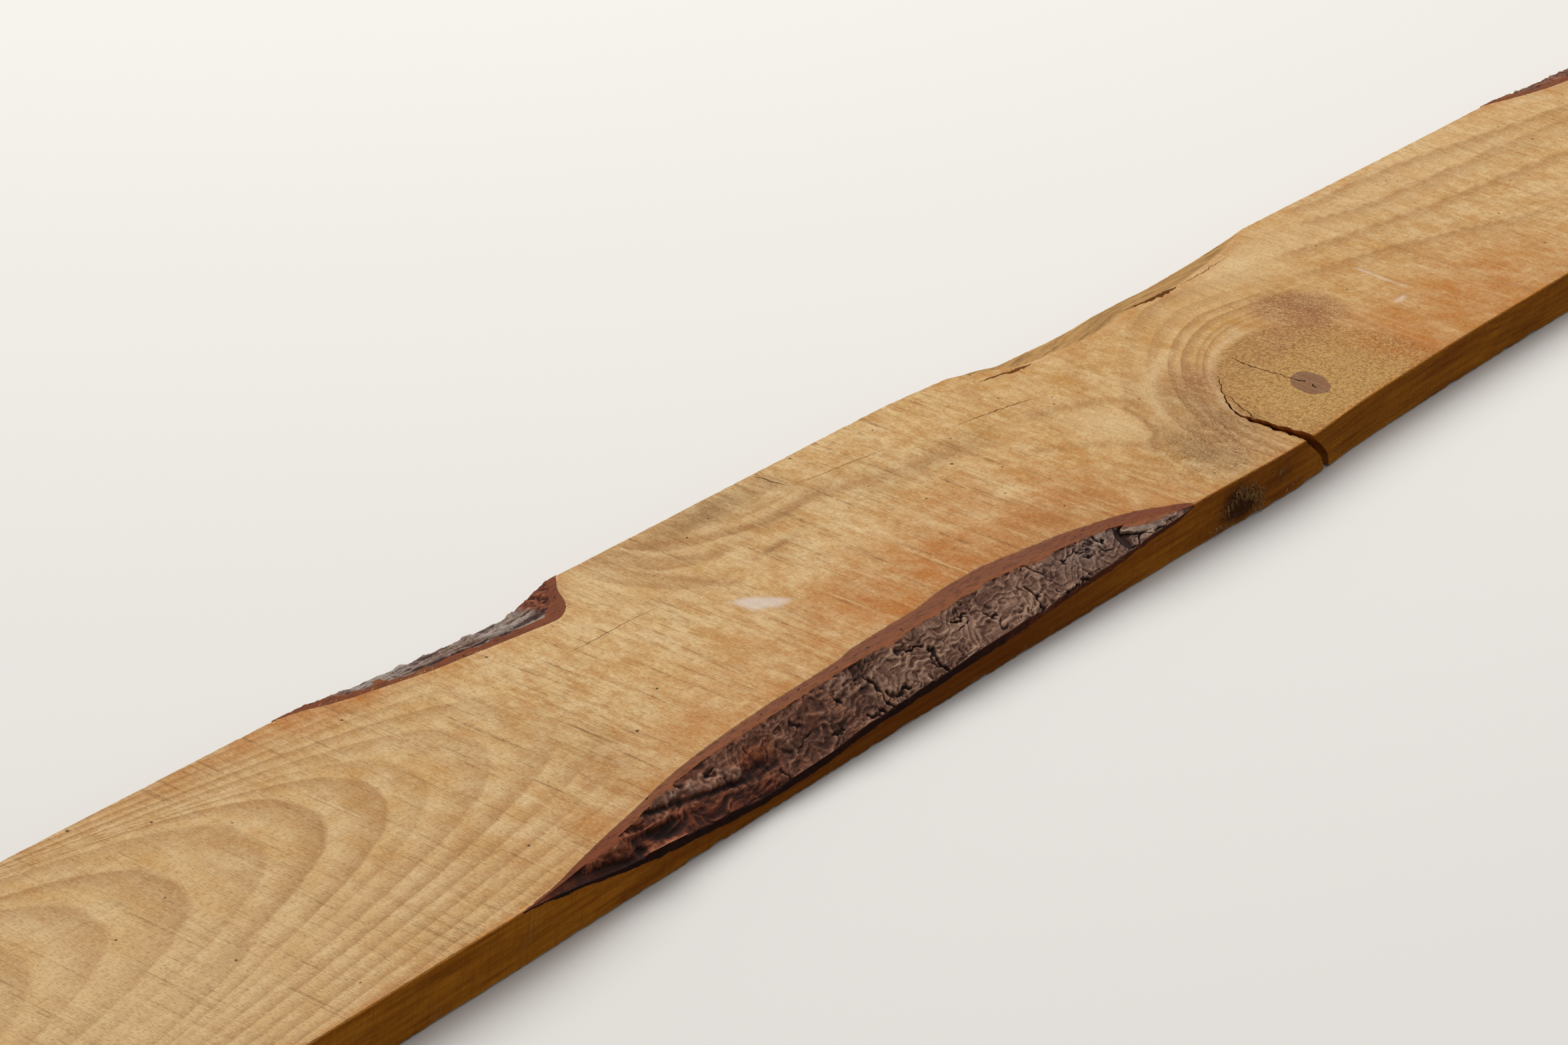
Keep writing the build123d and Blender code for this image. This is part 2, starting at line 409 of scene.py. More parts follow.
def tube_mesh(name, loops):
    """A closed skin over loops of points (loop, point, 3) in millimetres: four-sided faces between neighbouring
    loops, the last point of a loop joined to its first, and one flat face over each end loop. The mesh is in
    metres."""
    count, size = loops.shape[:2]
    index = np.arange(count * size).reshape(count, size)
    turned = np.roll(index, -1, axis=1)
    quads = np.stack([index[:-1], index[1:], turned[1:], turned[:-1]], axis=2).reshape(-1, 4)
    corners = np.concatenate([quads.ravel(), index[0], index[-1][::-1]])
    starts = np.concatenate([np.arange(len(quads)) * 4, [len(quads) * 4, len(quads) * 4 + size]])
    mesh = bpy.data.meshes.new(name)
    mesh.vertices.add(count * size)
    mesh.vertices.foreach_set("co", (loops / 1000).astype(np.float32).ravel())
    mesh.loops.add(len(corners))
    mesh.loops.foreach_set("vertex_index", corners.astype(np.int32))
    mesh.polygons.add(len(starts))
    mesh.polygons.foreach_set("loop_start", starts.astype(np.int32))
    mesh.update(calc_edges=True)
    mesh.validate()
    return mesh


board_mesh = tube_mesh("board", capped(rings_of_points))
board = bpy.data.objects.new("board", board_mesh)
bpy.context.scene.collection.objects.link(board)

# Cracks and splits, as lists of (along, across, gap) on the upper face, with their depth and how far they lean.
main_crack = [(245.0, -77.5, 8.2), (244.6, -71, 7.0), (243.2, -62, 5.8), (241.9, -54, 5.2), (240.6, -46, 4.2),
              (240.4, -42.5, 2.2), (243.0, -36, 1.1), (250.5, -27.2, 0.9), (259.0, -19.5, 0.6), (268.5, -12.6, 0.3)]
side_crack = [(243.2, -47, 0.9), (247.6, -39.5, 0.9), (251.5, -32.0, 0.8), (255.0, -25.5, 0.4)]
heart_crack = [(296.5, -43.0, 1.2), (294.0, -36.5, 0.9), (293.2, -29.0, 1.2), (291.8, -22.0, 0.9),
               (290.4, -17.5, 1.1), (290.8, -10.0, 0.8), (291.4, -4.8, 0.3)]
heart_hole = [(293.6, -50.2, 0.4), (295.2, -48.6, 1.8), (296.6, -46.6, 0.4)]
edge_split = [(176.5, 59.0, 0.3), (184.0, 58.0, 1.2), (193.0, 56.4, 1.3), (197.0, 55.4, 2.3), (206.0, 54.3, 1.7),
              (211.5, 54.0, 0.3)]
thin_split = [(133, 40.8, 0.2), (148, 38.6, 0.5), (160, 37.0, 0.7), (170, 35.2, 0.7), (180, 33.2, 0.2)]
broken_split = [(297.5, 59.4, 0.4), (303.0, 57.9, 2.6), (309.0, 56.2, 3.8), (317.0, 55.1, 4.4), (326.0, 55.3, 4.8),
                (333.0, 55.0, 4.2), (337.5, 54.2, 1.6), (341.5, 53.7, 0.3)]
long_split = [(344.0, 53.9, 0.2), (360.0, 54.2, 0.5), (375.0, 55.0, 0.45), (392.0, 55.8, 0.15)]
hair_split = [(31.0, 56.2, 0.1), (45.0, 54.0, 0.3), (62.0, 52.6, 0.4), (78.0, 50.2, 0.3), (89.0, 48.8, 0.1)]
left_check = [(-151.0, 31.4, 0.1), (-136.0, 30.6, 0.35), (-118.0, 30.9, 0.3), (-95.0, 29.8, 0.1)]
rim_check = [(24.2, 72.0, 0.4), (25.6, 67.0, 0.8), (26.8, 61.5, 0.7), (28.6, 56.0, 0.2)]
# The main crack's shift along the board at each height.
crack_lean = [(-1.0, 26.5), (0.0, 26.0), (7.5, 22.0), (15.5, 13.0), (25.0, 0.0), (27.0, -1.0)]


def cutter_mesh(name, line, bottom, lean, seed, jag):
    """The inside of a crack as a closed tube from above the board down to this height: at each level a thin closed
    outline along the crack's line, as wide as its gap, with toothed walls, moved along the board by its lean."""
    px, py, gap = np.array(line, float).T
    run = np.concatenate([[0], np.cumsum(np.hypot(np.diff(px), np.diff(py)))])
    s = np.linspace(0, run[-1], max(12, int(run[-1] / 0.6)))
    x, y, g = (smooth_line(list(zip(run, values)), s) for values in (px, py, gap))
    dx, dy = np.gradient(x), np.gradient(y)
    size = np.hypot(dx, dy)
    nx, ny = -dy / size, dx / size
    wander = jag * 2.2 * lumps(s, 0 * s, 2.4, seed + 2) * np.clip(s / 3, 0, 1)
    x, y = x + nx * wander, y + ny * wander
    levels = np.linspace(bottom, thickness + 1.0, 9)
    loops = []
    for z in levels:
        depth = (thickness - z) / (thickness - bottom)
        shrink = 1.0 - (0.25 if lean else 0.85) * max(depth, 0)
        teeth = jag * np.minimum(g, 2.0)
        left = g / 2 * shrink + teeth * lumps(s, 0 * s + z * 0.3, 1.4, seed)
        right = g / 2 * shrink + teeth * lumps(s, 0 * s + z * 0.3, 1.7, seed + 1)
        left, right = np.maximum(left, 0.04), np.maximum(right, 0.04)
        shift = float(smooth_line(crack_lean, np.array([z]))[0]) if lean else 0.0
        wall_a = np.stack([x + nx * left + shift, y + ny * left, 0 * x + z], axis=1)
        wall_b = np.stack([x - nx * right + shift, y - ny * right, 0 * x + z], axis=1)
        loops.append(np.concatenate([wall_a, wall_b[::-1]]))
    return tube_mesh(name, np.array(loops))


# Each cut's name, line, bottom, whether it leans, seed, and how toothed its walls are.
cuts = [("main crack", main_crack, -1.5, True, 41, 0.34), ("side crack", side_crack, 16.0, False, 43, 0.3),
        ("heart crack", heart_crack, 17.0, False, 45, 0.4), ("heart hole", heart_hole, 19.0, False, 47, 0.2),
        ("edge split", edge_split, 18.0, False, 49, 0.25), ("thin split", thin_split, 20.0, False, 51, 0.15),
        ("broken split", broken_split, 12.0, False, 53, 0.35), ("long split", long_split, 18.0, False, 55, 0.25),
        ("hair split", hair_split, 20.0, False, 57, 0.1), ("left check", left_check, 21.0, False, 59, 0.08),
        ("rim check", rim_check, 19.0, False, 63, 0.3)]
for name, line, bottom, lean, seed, jag in cuts:
    cutter = bpy.data.objects.new(name, cutter_mesh(name, line, bottom, lean, seed, jag))
    bpy.context.scene.collection.objects.link(cutter)
    cut = board.modifiers.new(name, "BOOLEAN")
    cut.operation = "DIFFERENCE"
    cut.solver = "EXACT"
    cut.object = cutter
bpy.context.view_layer.update()
cut_board = bpy.data.meshes.new_from_object(board.evaluated_get(bpy.context.evaluated_depsgraph_get()))
board.modifiers.clear()
board.data = cut_board
for cut in cuts:
    bpy.data.objects.remove(bpy.data.objects[cut[0]])


def arch_number(x, y):
    """Number of the growth ring at a point left of the bark: its arch runs from a tip at the right into two arms
    that spread as a power of the distance, the far arm a little closer in. The tip is found in a few rounds."""
    tip = x
    for _ in range(6):
        off = y - smooth_line(tip_line, tip)
        tip = x + (np.abs(off) / np.where(off > 0, far_arm, near_arm)) ** (1 / arm_power)
    return smooth_line(arch_tips, np.minimum(tip, 1200))


def knot_reach_at(x, y):
    """Distance from the knot's middle in shares of its reach to the left, right and across: 1 on its outline."""
    u = (x - knot_middle[0]) / np.where(x < knot_middle[0], knot_reach[0], knot_reach[1])
    return np.hypot(u, (y - knot_middle[1]) / knot_reach[2])


def knot_number(x, y):
    """Number of the ring outside the knot: rings wrap its left side, lie closer above it, and run on to the right
    in nearly straight lines that fall slowly towards the near edge."""
    u = np.minimum((x - knot_middle[0]) / knot_reach[0], 0)
    fall = 0.15 * np.clip(x - 320, 0, None)
    reach = np.hypot(u, np.maximum(y + fall - knot_middle[1], 0) / knot_reach[2])
    reach = reach - 0.0016 * np.clip(x - 240, 0, 90)
    return smooth_line(knot_rings, reach)


def swing(x, y):
    """Which streamline passes through a point: its distance across from the post's middle line, made less near the
    post by one over the square of the distance, and by nothing far from it."""
    u = (x - swing_middle[0]) / swing_reach[0]
    v = (y - swing_middle[1]) / swing_reach[1]
    u = np.where(u > 0, u / 1.25, u)
    square = np.maximum(u * u + v * v, 1.0)
    fade = np.exp(-0.7 * np.maximum(np.sqrt(square) - 1.3, 0))
    return (y - swing_middle[1]) * (1 - fade / square)


def inside(x, y, corners):
    """How far a point lies inside an outline with no hollow corners, given clockwise: the least distance to its
    sides, and less than 0 outside."""
    nearest = np.full(x.shape, 99.0)
    for (x0, y0), (x1, y1) in zip(corners, corners[1:] + corners[:1]):
        dx, dy = x1 - x0, y1 - y0
        nearest = np.minimum(nearest, ((x - x0) * dy - (y - y0) * dx) / math.hypot(dx, dy))
    return nearest


def near_line(x, y, line, width, seed, wander=0.9):
    """1 on a line through points (along, across) and falling off as a bell curve over its width; the line wanders."""
    warp_x = x + wander * (lumps(x, y, 2.6, seed) + 0.4 * lumps(x, y, 1.1, seed + 1))
    warp_y = y + wander * (lumps(x, y, 2.6, seed + 2) + 0.4 * lumps(x, y, 1.1, seed + 3))
    nearest = np.full(x.shape, 99.0)
    for (x0, y0), (x1, y1) in zip(line[:-1], line[1:]):
        dx, dy = x1 - x0, y1 - y0
        t = np.clip(((warp_x - x0) * dx + (warp_y - y0) * dy) / (dx * dx + dy * dy), 0, 1)
        nearest = np.minimum(nearest, np.hypot(warp_x - x0 - t * dx, warp_y - y0 - t * dy))
    return np.exp(-(nearest / width) ** 2)


def strokes(x, y, lines, seed):
    """Strength of the strongest of several drawn lines at a point, each given as its width, strength and points."""
    return np.maximum.reduce([force * near_line(x, y, line, width, seed, 0.5) for width, force, line in lines])


def grain_edge(x, y, line):
    """A dark ring seen as a line with a sharp upper edge: 1 on the line, fading over 6 mm below it, 0.7 mm above."""
    under = smooth_line(line, x) - y
    ends = np.clip((x - line[0][0]) / 25, 0, 1) * np.clip((line[-1][0] - x) / 40, 0, 1)
    return np.where(under > 0, np.exp(-under / 6.0), np.exp(-(under / 0.7) ** 2)) * ends


# What the wood is like at each point of the board's mesh, kept on the mesh for the material to read.
count = len(board.data.vertices)
points = np.empty(count * 3, np.float32)
board.data.vertices.foreach_get("co", points)
x, y, z = (points.reshape(-1, 3) * 1000).T.astype(float)
below = thickness - z
on_top = np.clip(1.6 - below, 0, 1)
near_side_at = -half_width + smooth_line(near_inset, x)
far_side_at = half_width - smooth_line(far_inset, x)
side_face = np.clip(near_side_at + 0.9 - y, 0, 0.6) / 0.6
far_face = np.clip(y - far_side_at + 0.9, 0, 0.5) / 0.5
near_rim = y - np.maximum(smooth_line(near_wood, x), near_side_at)
far_rim = np.minimum.reduce([smooth_line(wood, x) for wood in (notch_wood, dip_wood, end_wood)]) - y
rim = np.minimum(near_rim, far_rim)
# The walls inside the cracks: they take the near edge face's colours, as painted shade inside the cracks.
crack_wall = np.clip(below - 1.8, 0, 1) * np.clip(z - 0.3, 0, 1) * np.clip(rim - 0.5, 0, 1)
crack_wall = crack_wall * (y > near_side_at + 1.2) * (y < far_side_at - 1.2) * (np.abs(x) < half_length - 1)

# The rings, in three stretches: arches left of the bark, a curl at the far edge, and the rings that wrap the knot.
left_share = np.clip((arches_end - x) / 45, 0, 1)
knot_share = np.clip((x - wrap_start) / 25, 0, 1)
curl_off = np.hypot((x - curl_middle[0]) / curl_stretch, y - curl_middle[1])
curl_off = curl_off - 0.3 * np.clip(72 - y, 0, None) * np.clip((-30 - x) / 40, 0, 1)
curl_share = patched("curl", x, y) * np.clip((x - arches_end - 5) / 20, 0, 1)
knot_at = knot_reach_at(x, y)
ring = np.where(x < wrap_start - 2, curl_off / curl_spacing, knot_number(x, y))
ring = np.where(x < arches_end + 3, arch_number(x, y), ring)
ring_strength = left_share * np.interp(x, [-420, -330, -200], [1.0, 0.9, 0.6])
ring_strength = ring_strength + curl_share * (1 - left_share) * (1 - knot_share)
ring_strength = ring_strength + knot_share * np.interp(x, [150, 200, 340, 400, 700, 780, 1200],
                                                       [0.5, 1.1, 0.9, 0.3, 0.25, 0.5, 0.7])
outer_ring = np.clip((300 - x) / 30, 0, 1) * np.clip((knot_at - 1.5) / 0.2, 0, 1) * knot_share
ring_strength = ring_strength * (1 - 0.8 * outer_ring)
pith_x, pith_y = x - pith[0], y - pith[1]
pith_x, pith_y = pith_x * pith_turn[0] + pith_y * pith_turn[1], pith_y * pith_turn[0] - pith_x * pith_turn[1]
edge_lines = np.maximum.reduce([grain_edge(x, y, edge) for edge in ring_edges])
shade_x, shade_y = x - shade_middle[0], y + shade_lean * (x - shade_middle[0]) - shade_middle[1]
shade_off = np.hypot(shade_x / shade_reach[0], shade_y / np.where(y > shade_middle[1], shade_reach[1], shade_reach[2]))
knot_shade = np.clip((1.05 - shade_off) / 0.35, 0, 1)

traits = {
    "ring": ring - 0.22 - np.clip(below - 1.5, 0, None) / ring_depth,
    "ring_strength": ring_strength,
    "blotchy": np.clip(1.05 - 0.85 * ring_strength, 0.2, 1.0),
    "line": np.clip(strokes(x, y, brown_lines, 501) + 0.6 * edge_lines, 0, 1),
    "knot": knot_at,
    "knot_ring": np.hypot(pith_x / pith_stretch[0], pith_y / pith_stretch[1]),
    "grain_across": swing(x, y) + 0.35 * z,
    "saw_strength": np.interp(x, [-1200, -450, -300, -230, 100, 180, 420, 800, 1200],
                              [1, 0.7, 0.6, 1, 1, 0.5, 0.5, 0.6, 1]),
    "orange": patched("orange", x, y),
    "brown": patched("brown", x, y),
    "red": np.clip(knot_shade * 0.9 + patched("red", x, y), 0, 1),
    "deep": np.interp(x, [-1200, 60, 140, 230, 420, 520, 1200], [0, 0, 0.35, 0.3, 0.4, 0.15, 0.15])
            + np.interp(y, [-75, -20, 10], [0.25, 0.0, 0.0]) * np.interp(x, [340, 400, 540, 640], [0, 1, 1, 0]),
    "pale": np.clip(patched("pale", x, y) + strokes(x, y, pale_lines, 511), 0, 1),
    "chalk_depth": np.clip(inside(x, y, chalk_patch), -6, 6),
    "chalk": patched("chalk", x, y) * on_top,
    "torn": patched("torn", x, y) * on_top,
    # The near edge face, and the crack walls at 0.9, to take the edge face's colours with their painted bounce light
    # and shade.
    "side": np.maximum(side_face, 0.9 * crack_wall),
    "furry_and_shade": patched("furry_and_shade", x, z) * side_face,
    # Painted shade on the near edge face, strongest between -110 and 20 along the board.
    "side_painted_shade": np.interp(x, [-250, -190, -110, 20, 70, 110, 150, 175, 225, 244, 250],
                           [0, 0.5, 0.9, 0.95, 0.65, 0.3, 0.25, 0.55, 0.55, 0.4, 0.2]) * side_face,
    "round": np.clip(rim / -3.0, 0, 1) * (1 - side_face) * (1 - far_face),
    "rim": np.clip(1 - np.abs(rim - 2.0) / 4.0, 0, 1),
}
for name, values in traits.items():
    board.data.attributes.new(name, "FLOAT", "POINT").data.foreach_set("value", values.astype(np.float32))

# Rough-sawn pine: dull and dry, with soft pale early wood and browner late wood that ends sharply at each ring's
# outer side, a fur of fine fibres, leaning saw marks across the board and dark resin specks. The near edge face is
# painted a saturated orange-brown, part wood and part painted warm bounce light and shade.
early_pale, early_tan, late_brown = "#DDBC8A", "#C99C5F", "#976233"
saw_brown, saw_pale, fleck_and_shade_brown, torn_brown = "#8F6034", "#E4C690", "#43291A", "#6E4A2A"
stain_orange, stain_brown, stain_red = "#B46A28", "#84603E", "#9A6040"
knot_ochre, knot_red, pith_brown, chalk_white = "#C0924F", "#A8703F", "#7E5640", "#DCCFC4"
side_wood_and_bounce, side_dark, side_shade_red, round_ochre, round_dark = "#DC8C22", "#8C480A", "#6A2A04", "#B58A52", "#7C5730"
blotch_tan, bristle_pale, bristle_brown, torn_pale = "#BC8446", "#D6B06C", "#86592C", "#DABB90"
knot_ring_width = 3.4
saw_lean = 0.08
late_shape = [(0.0, 0.0), (0.25, 0.05), (0.7, 0.75), (0.9, 1.0), (1.0, 0.05)]

pine = bpy.data.materials.new("rough sawn pine")
pine.use_nodes = True
tree = pine.node_tree
tree.nodes.clear()
read = {name: add(tree, "Attribute", attribute_name=name).outputs["Fac"] for name in traits}
place = add(tree, "VectorMath", {0: add(tree, "TexCoord").outputs["Object"], "Scale": 1000.0}, operation="SCALE")
px, py, pz = add(tree, "SeparateXYZ", {0: place}).outputs

# Places measured along and across the grain, which swings round the knot, and along and across the leaning saw marks.
grain = add(tree, "CombineXYZ", {0: px, 1: read["grain_across"], 2: pz})
lean_x = add(tree, "Math", {0: py, 1: saw_lean, 2: px}, operation="MULTIPLY_ADD")
saw_place = add(tree, "CombineXYZ", {0: lean_x, 1: py, 2: pz})

# Patterns of noise: the place that each is laid on, its size along, across and up in millimetres, its detail, its
# roughness and its distortion.
patterns = {
    "fur": (saw_place, (0.55, 1.9, 1.9), 2.0, 0.6, 0.0),  # the fine fur that the saw laid across the board
    "fibre": (grain, (4.5, 0.9, 0.9), 3.0, 0.65, 0.0),  # longer fibres along the grain
    "end grain": (saw_place, (1.5, 1.1, 1.1), 3.0, 0.65, 0.0),  # fibres on end in the knot, as short flecks
    "streak": (grain, (45, 3.0, 3.0), 3.0, 0.55, 0.0),  # broad streaks along the grain
    "wobble": (place, (22, 12, 12), 4.0, 0.6, 0.0),  # the slow wander of rings and of the knot's outline
    "patch": (saw_place, (18, 24, 24), 5.0, 0.65, 0.0),  # wide darker and paler patches
    "blotch": (saw_place, (4.6, 7.5, 7.5), 6.0, 0.72, 0.0),  # small blotches
    "mark": (saw_place, (2.6, 55, 9), 3.0, 0.7, 0.0),  # broad soft saw marks
    "hair": (saw_place, (0.9, 9, 9), 2.0, 0.6, 0.0),  # hair-thin saw marks
    "saw patch": (saw_place, (11, 30, 16), 2.0, 0.6, 0.0),  # where the saw marked the wood more
    "scratch": (saw_place, (1.6, 48, 9), 1.0, 0.5, 0.0),  # long deep scratches
    "dot": (saw_place, (0.8, 1.5, 1.5), 1.0, 0.5, 0.0),  # small brown dots
    "tear": (grain, (2.4, 1.3, 1.3), 4.0, 0.7, 1.6),  # torn fibres
    "kerf": (place, (0.7, 20, 22), 3.0, 0.7, 0.0),  # upright saw marks on the side faces
}
noise = {}
for name, (laid_on, sizes, detail, rough, twist) in patterns.items():
    spread = add(tree, "VectorMath", {0: laid_on, 1: tuple(1 / size for size in sizes)}, operation="MULTIPLY")
    noise[name] = add(tree, "TexNoise", {"Vector": spread, "Scale": 1.0, "Detail": detail, "Roughness": rough,
                                         "Distortion": twist})

# In the knot the fibres stand on end.
knot_edge = add(tree, "Math", {0: noise["wobble"], 1: 0.06, 2: read["knot"]}, operation="MULTIPLY_ADD")
in_knot = add(tree, "MapRange", {0: knot_edge, 1: 1.0, 2: 1.06, 3: 1.0, 4: 0.0})
fibre = add(tree, "Mix", {0: in_knot, 2: noise["fibre"], 3: noise["end grain"]})

# Growth rings, their edges frayed by the fibres, each ring with a strength of its own.
ring_number = add(tree, "Math", {0: noise["wobble"], 1: 0.24, 2: read["ring"]}, operation="MULTIPLY_ADD")
ring_number = add(tree, "Math", {0: fibre, 1: 0.12, 2: ring_number}, operation="MULTIPLY_ADD")
ring_own = add(tree, "TexWhiteNoise", {"W": add(tree, "Math", {0: ring_number}, operation="FLOOR")},
               noise_dimensions="1D")
ring_force = add(tree, "MapRange", {0: ring_own, 3: 0.55, 4: 1.1})
late = add(tree, "ValToRGB", {0: add(tree, "Math", {0: ring_number}, operation="FRACT")}, stops=late_shape)
late = add(tree, "Math", {0: late, 1: ring_force}, operation="MULTIPLY")
late = add(tree, "Math", {0: late, 1: read["ring_strength"]}, operation="MULTIPLY")
knot_wide = add(tree, "Math", {0: noise["wobble"], 1: 5.0, 2: read["knot_ring"]}, operation="MULTIPLY_ADD")
knot_part = add(tree, "Math", {0: knot_wide, 1: knot_ring_width}, operation="DIVIDE")
knot_part = add(tree, "Math", {0: knot_part}, operation="FRACT")
knot_late = add(tree, "ValToRGB", {0: knot_part}, stops=late_shape)
knot_late = add(tree, "Math", {0: knot_late, 1: 0.35}, operation="MULTIPLY")
late = add(tree, "Mix", {0: in_knot, 2: late, 3: knot_late})

# Colour of the clean wood with its rings.
patch_share = add(tree, "MapRange", {0: noise["patch"], 1: 0.34, 2: 0.66, 3: 0.0, 4: 1.0})
patch_deep = add(tree, "Math", {0: patch_share, 1: read["deep"]}, operation="ADD")
early = add(tree, "Mix", {0: patch_deep, 6: linear(early_pale), 7: linear(early_tan)}, data_type="RGBA",
            clamp_factor=False)
knot_patch = add(tree, "MapRange", {0: knot_edge, 1: 0.6, 2: 1.05, 3: 0.0, 4: 0.45})
knot_wood = add(tree, "Mix", {0: knot_patch, 6: linear(knot_ochre), 7: linear(knot_red)}, data_type="RGBA")
knot_tan = add(tree, "Math", {0: patch_share, 1: 0.35}, operation="MULTIPLY")
knot_wood = add(tree, "Mix", {0: knot_tan, 6: knot_wood, 7: linear(early_tan)}, data_type="RGBA")
clean = add(tree, "Mix", {0: in_knot, 6: early, 7: knot_wood}, data_type="RGBA")
late_share = add(tree, "Math", {0: late, 1: 0.7}, operation="MULTIPLY")
ringed = add(tree, "Mix", {0: late_share, 6: clean, 7: linear(late_brown)}, data_type="RGBA")

# Dark specks of uneven shape and size: a few cells of a scatter, each only round its middle.
speck_place = add(tree, "VectorMath", {0: place, 1: (1 / 5.0, 1 / 4.2, 1 / 4.2)}, operation="MULTIPLY")
speck_place = add(tree, "VectorMath", {0: noise["fur"].outputs["Color"], 1: (0.25, 0.25, 0.25), 2: speck_place},
                  operation="MULTIPLY_ADD")
speck = add(tree, "TexVoronoi", {"Vector": speck_place, "Scale": 1.0, "Randomness": 1.0})
speck_size = add(tree, "SeparateXYZ", {0: speck.outputs["Color"]})
speck_size = add(tree, "MapRange", {0: speck_size, 1: 0.92, 2: 1.0, 3: 0.0, 4: 0.2})
speck_share = add(tree, "Math", {0: speck_size, 1: speck.outputs["Distance"]}, operation="SUBTRACT")
speck_share = add(tree, "MapRange", {0: speck_share, 1: 0.0, 2: 0.05, 3: 0.0, 4: 0.85})

# Where the drawn lines, the saw marks, the scratches, the dots, the end grain and the torn fibres lie, and how strong
# they are.
line_place = add(tree, "Math", {0: fibre, 1: 0.6, 2: read["line"]}, operation="MULTIPLY_ADD")
saw_force = add(tree, "MapRange", {0: noise["saw patch"], 1: 0.36, 2: 0.66, 3: 0.1, 4: 1.1})
saw_force = add(tree, "Math", {0: saw_force, 1: read["saw_strength"]}, operation="MULTIPLY")
scratch_force = add(tree, "MapRange", {0: noise["blotch"], 1: 0.42, 2: 0.58, 3: 0.2, 4: 1.0})
scratch_force = add(tree, "Math", {0: scratch_force, 1: read["saw_strength"]}, operation="MULTIPLY")
dot_place = add(tree, "Math", {0: noise["blotch"], 1: 0.25, 2: noise["dot"]}, operation="MULTIPLY_ADD")
bristle = add(tree, "Math", {0: in_knot, 1: read["red"]}, operation="MAXIMUM")
tear_force = add(tree, "MapRange", {0: noise["blotch"], 1: 0.44, 2: 0.58, 3: 0.3, 4: 1.5})
tear_force = add(tree, "Math", {0: tear_force, 1: read["torn"]}, operation="MULTIPLY")
bare_place = add(tree, "Math", {0: fibre, 1: 0.6, 2: noise["streak"]}, operation="MULTIPLY_ADD")
side_place = add(tree, "Math", {0: fibre, 1: 0.4, 2: noise["streak"]}, operation="MULTIPLY_ADD")
furry_shade_place = add(tree, "Math", {0: noise["tear"], 1: read["furry_and_shade"]}, operation="ADD")

# Layers of colour over the sawn face, over the bare round wood and over the side faces, from the lowest up. Each has
# the pattern that it follows, the pattern's values where it starts and where it is full, how much it covers at both,
# what that is multiplied by, and its colour.
face_layers = [
    (noise["streak"], 0.45, 0.72, 0.0, 0.16, 1.0, late_brown),
    (noise["blotch"], 0.47, 0.68, 0.0, 0.75, read["blotchy"], blotch_tan),
    (noise["blotch"], 0.5, 0.33, 0.0, 0.6, read["blotchy"], saw_pale),
    (noise["patch"], 0.3, 0.62, 0.24, 1.0, read["pale"], early_pale),
    (noise["patch"], 0.3, 0.62, 0.216, 0.9, read["orange"], stain_orange),
    (noise["patch"], 0.3, 0.62, 0.21, 0.875, read["brown"], stain_brown),
    (noise["patch"], 0.3, 0.62, 0.225, 0.9375, read["red"], stain_red),
    (noise["patch"], 0.3, 0.62, 0.09, 0.375, read["rim"], stain_orange),
    (line_place, 0.3, 1.1, 0.0, 0.75, 1.0, late_brown),
    (noise["mark"], 0.5, 0.72, 0.0, 0.42, saw_force, saw_brown),
    (noise["mark"], 0.48, 0.3, 0.0, 0.5, saw_force, saw_pale),
    (noise["hair"], 0.57, 0.72, 0.0, 0.7, saw_force, saw_brown),
    (noise["scratch"], 0.61, 0.72, 0.0, 0.6, scratch_force, torn_brown),
    (noise["fur"], 0.5, 0.74, 0.0, 0.5, 1.0, saw_brown),
    (noise["fur"], 0.46, 0.28, 0.0, 0.4, 1.0, saw_pale),
    (fibre, 0.52, 0.76, 0.0, 0.2, 1.0, saw_brown),
    (dot_place, 0.82, 0.9, 0.0, 0.45, 1.0, torn_brown),
    (speck_share, 0.0, 1.0, 0.0, 1.0, 1.0, fleck_and_shade_brown),
    (noise["end grain"], 0.5, 0.68, 0.0, 0.75, bristle, bristle_brown),
    (noise["end grain"], 0.48, 0.32, 0.0, 0.6, bristle, bristle_pale),
    (knot_wide, 12.8, 13.5, 0.82, 0.0, 1.0, pith_brown),
    (noise["tear"], 0.5, 0.68, 0.0, 0.85, tear_force, torn_brown),
    (noise["tear"], 0.46, 0.3, 0.0, 0.8, read["torn"], torn_pale),
]
bare_layers = [(bare_place, 0.7, 1.0, 0.0, 0.8, 1.0, round_dark)]
# The near edge face: its orange base colour stands for the wood under warm bounce light and shade, and its red layer is
# painted shade; the streaks and upright saw marks are the wood's own.
side_layers = [
    (side_place, 0.5, 0.95, 0.0, 0.85, 1.0, side_dark),
    # Painted shade: a darker red brown where the near edge face lies deepest in shade.
    (read["side_painted_shade"], 0.0, 1.0, 0.0, 0.75, 1.0, side_shade_red),
    (noise["kerf"], 0.5, 0.72, 0.0, 0.4, 1.0, side_dark),
    # Torn fur on the near edge face, darkened as painted shade under the hanging fibres.
    (furry_shade_place, 0.75, 1.25, 0.0, 0.8, 1.0, fleck_and_shade_brown),
]
painted = {}
for part, base, layers in (("face", ringed, face_layers), ("bare", linear(round_ochre), bare_layers),
                           ("side", linear(side_wood_and_bounce), side_layers)):
    for pattern, start, full, at_start, at_full, force, colour in layers:
        cover = add(tree, "MapRange", {0: pattern, 1: start, 2: full, 3: at_start, 4: at_full})
        cover = add(tree, "Math", {0: cover, 1: force}, operation="MULTIPLY")
        base = add(tree, "Mix", {0: cover, 6: base, 7: linear(colour)}, data_type="RGBA")
    painted[part] = base

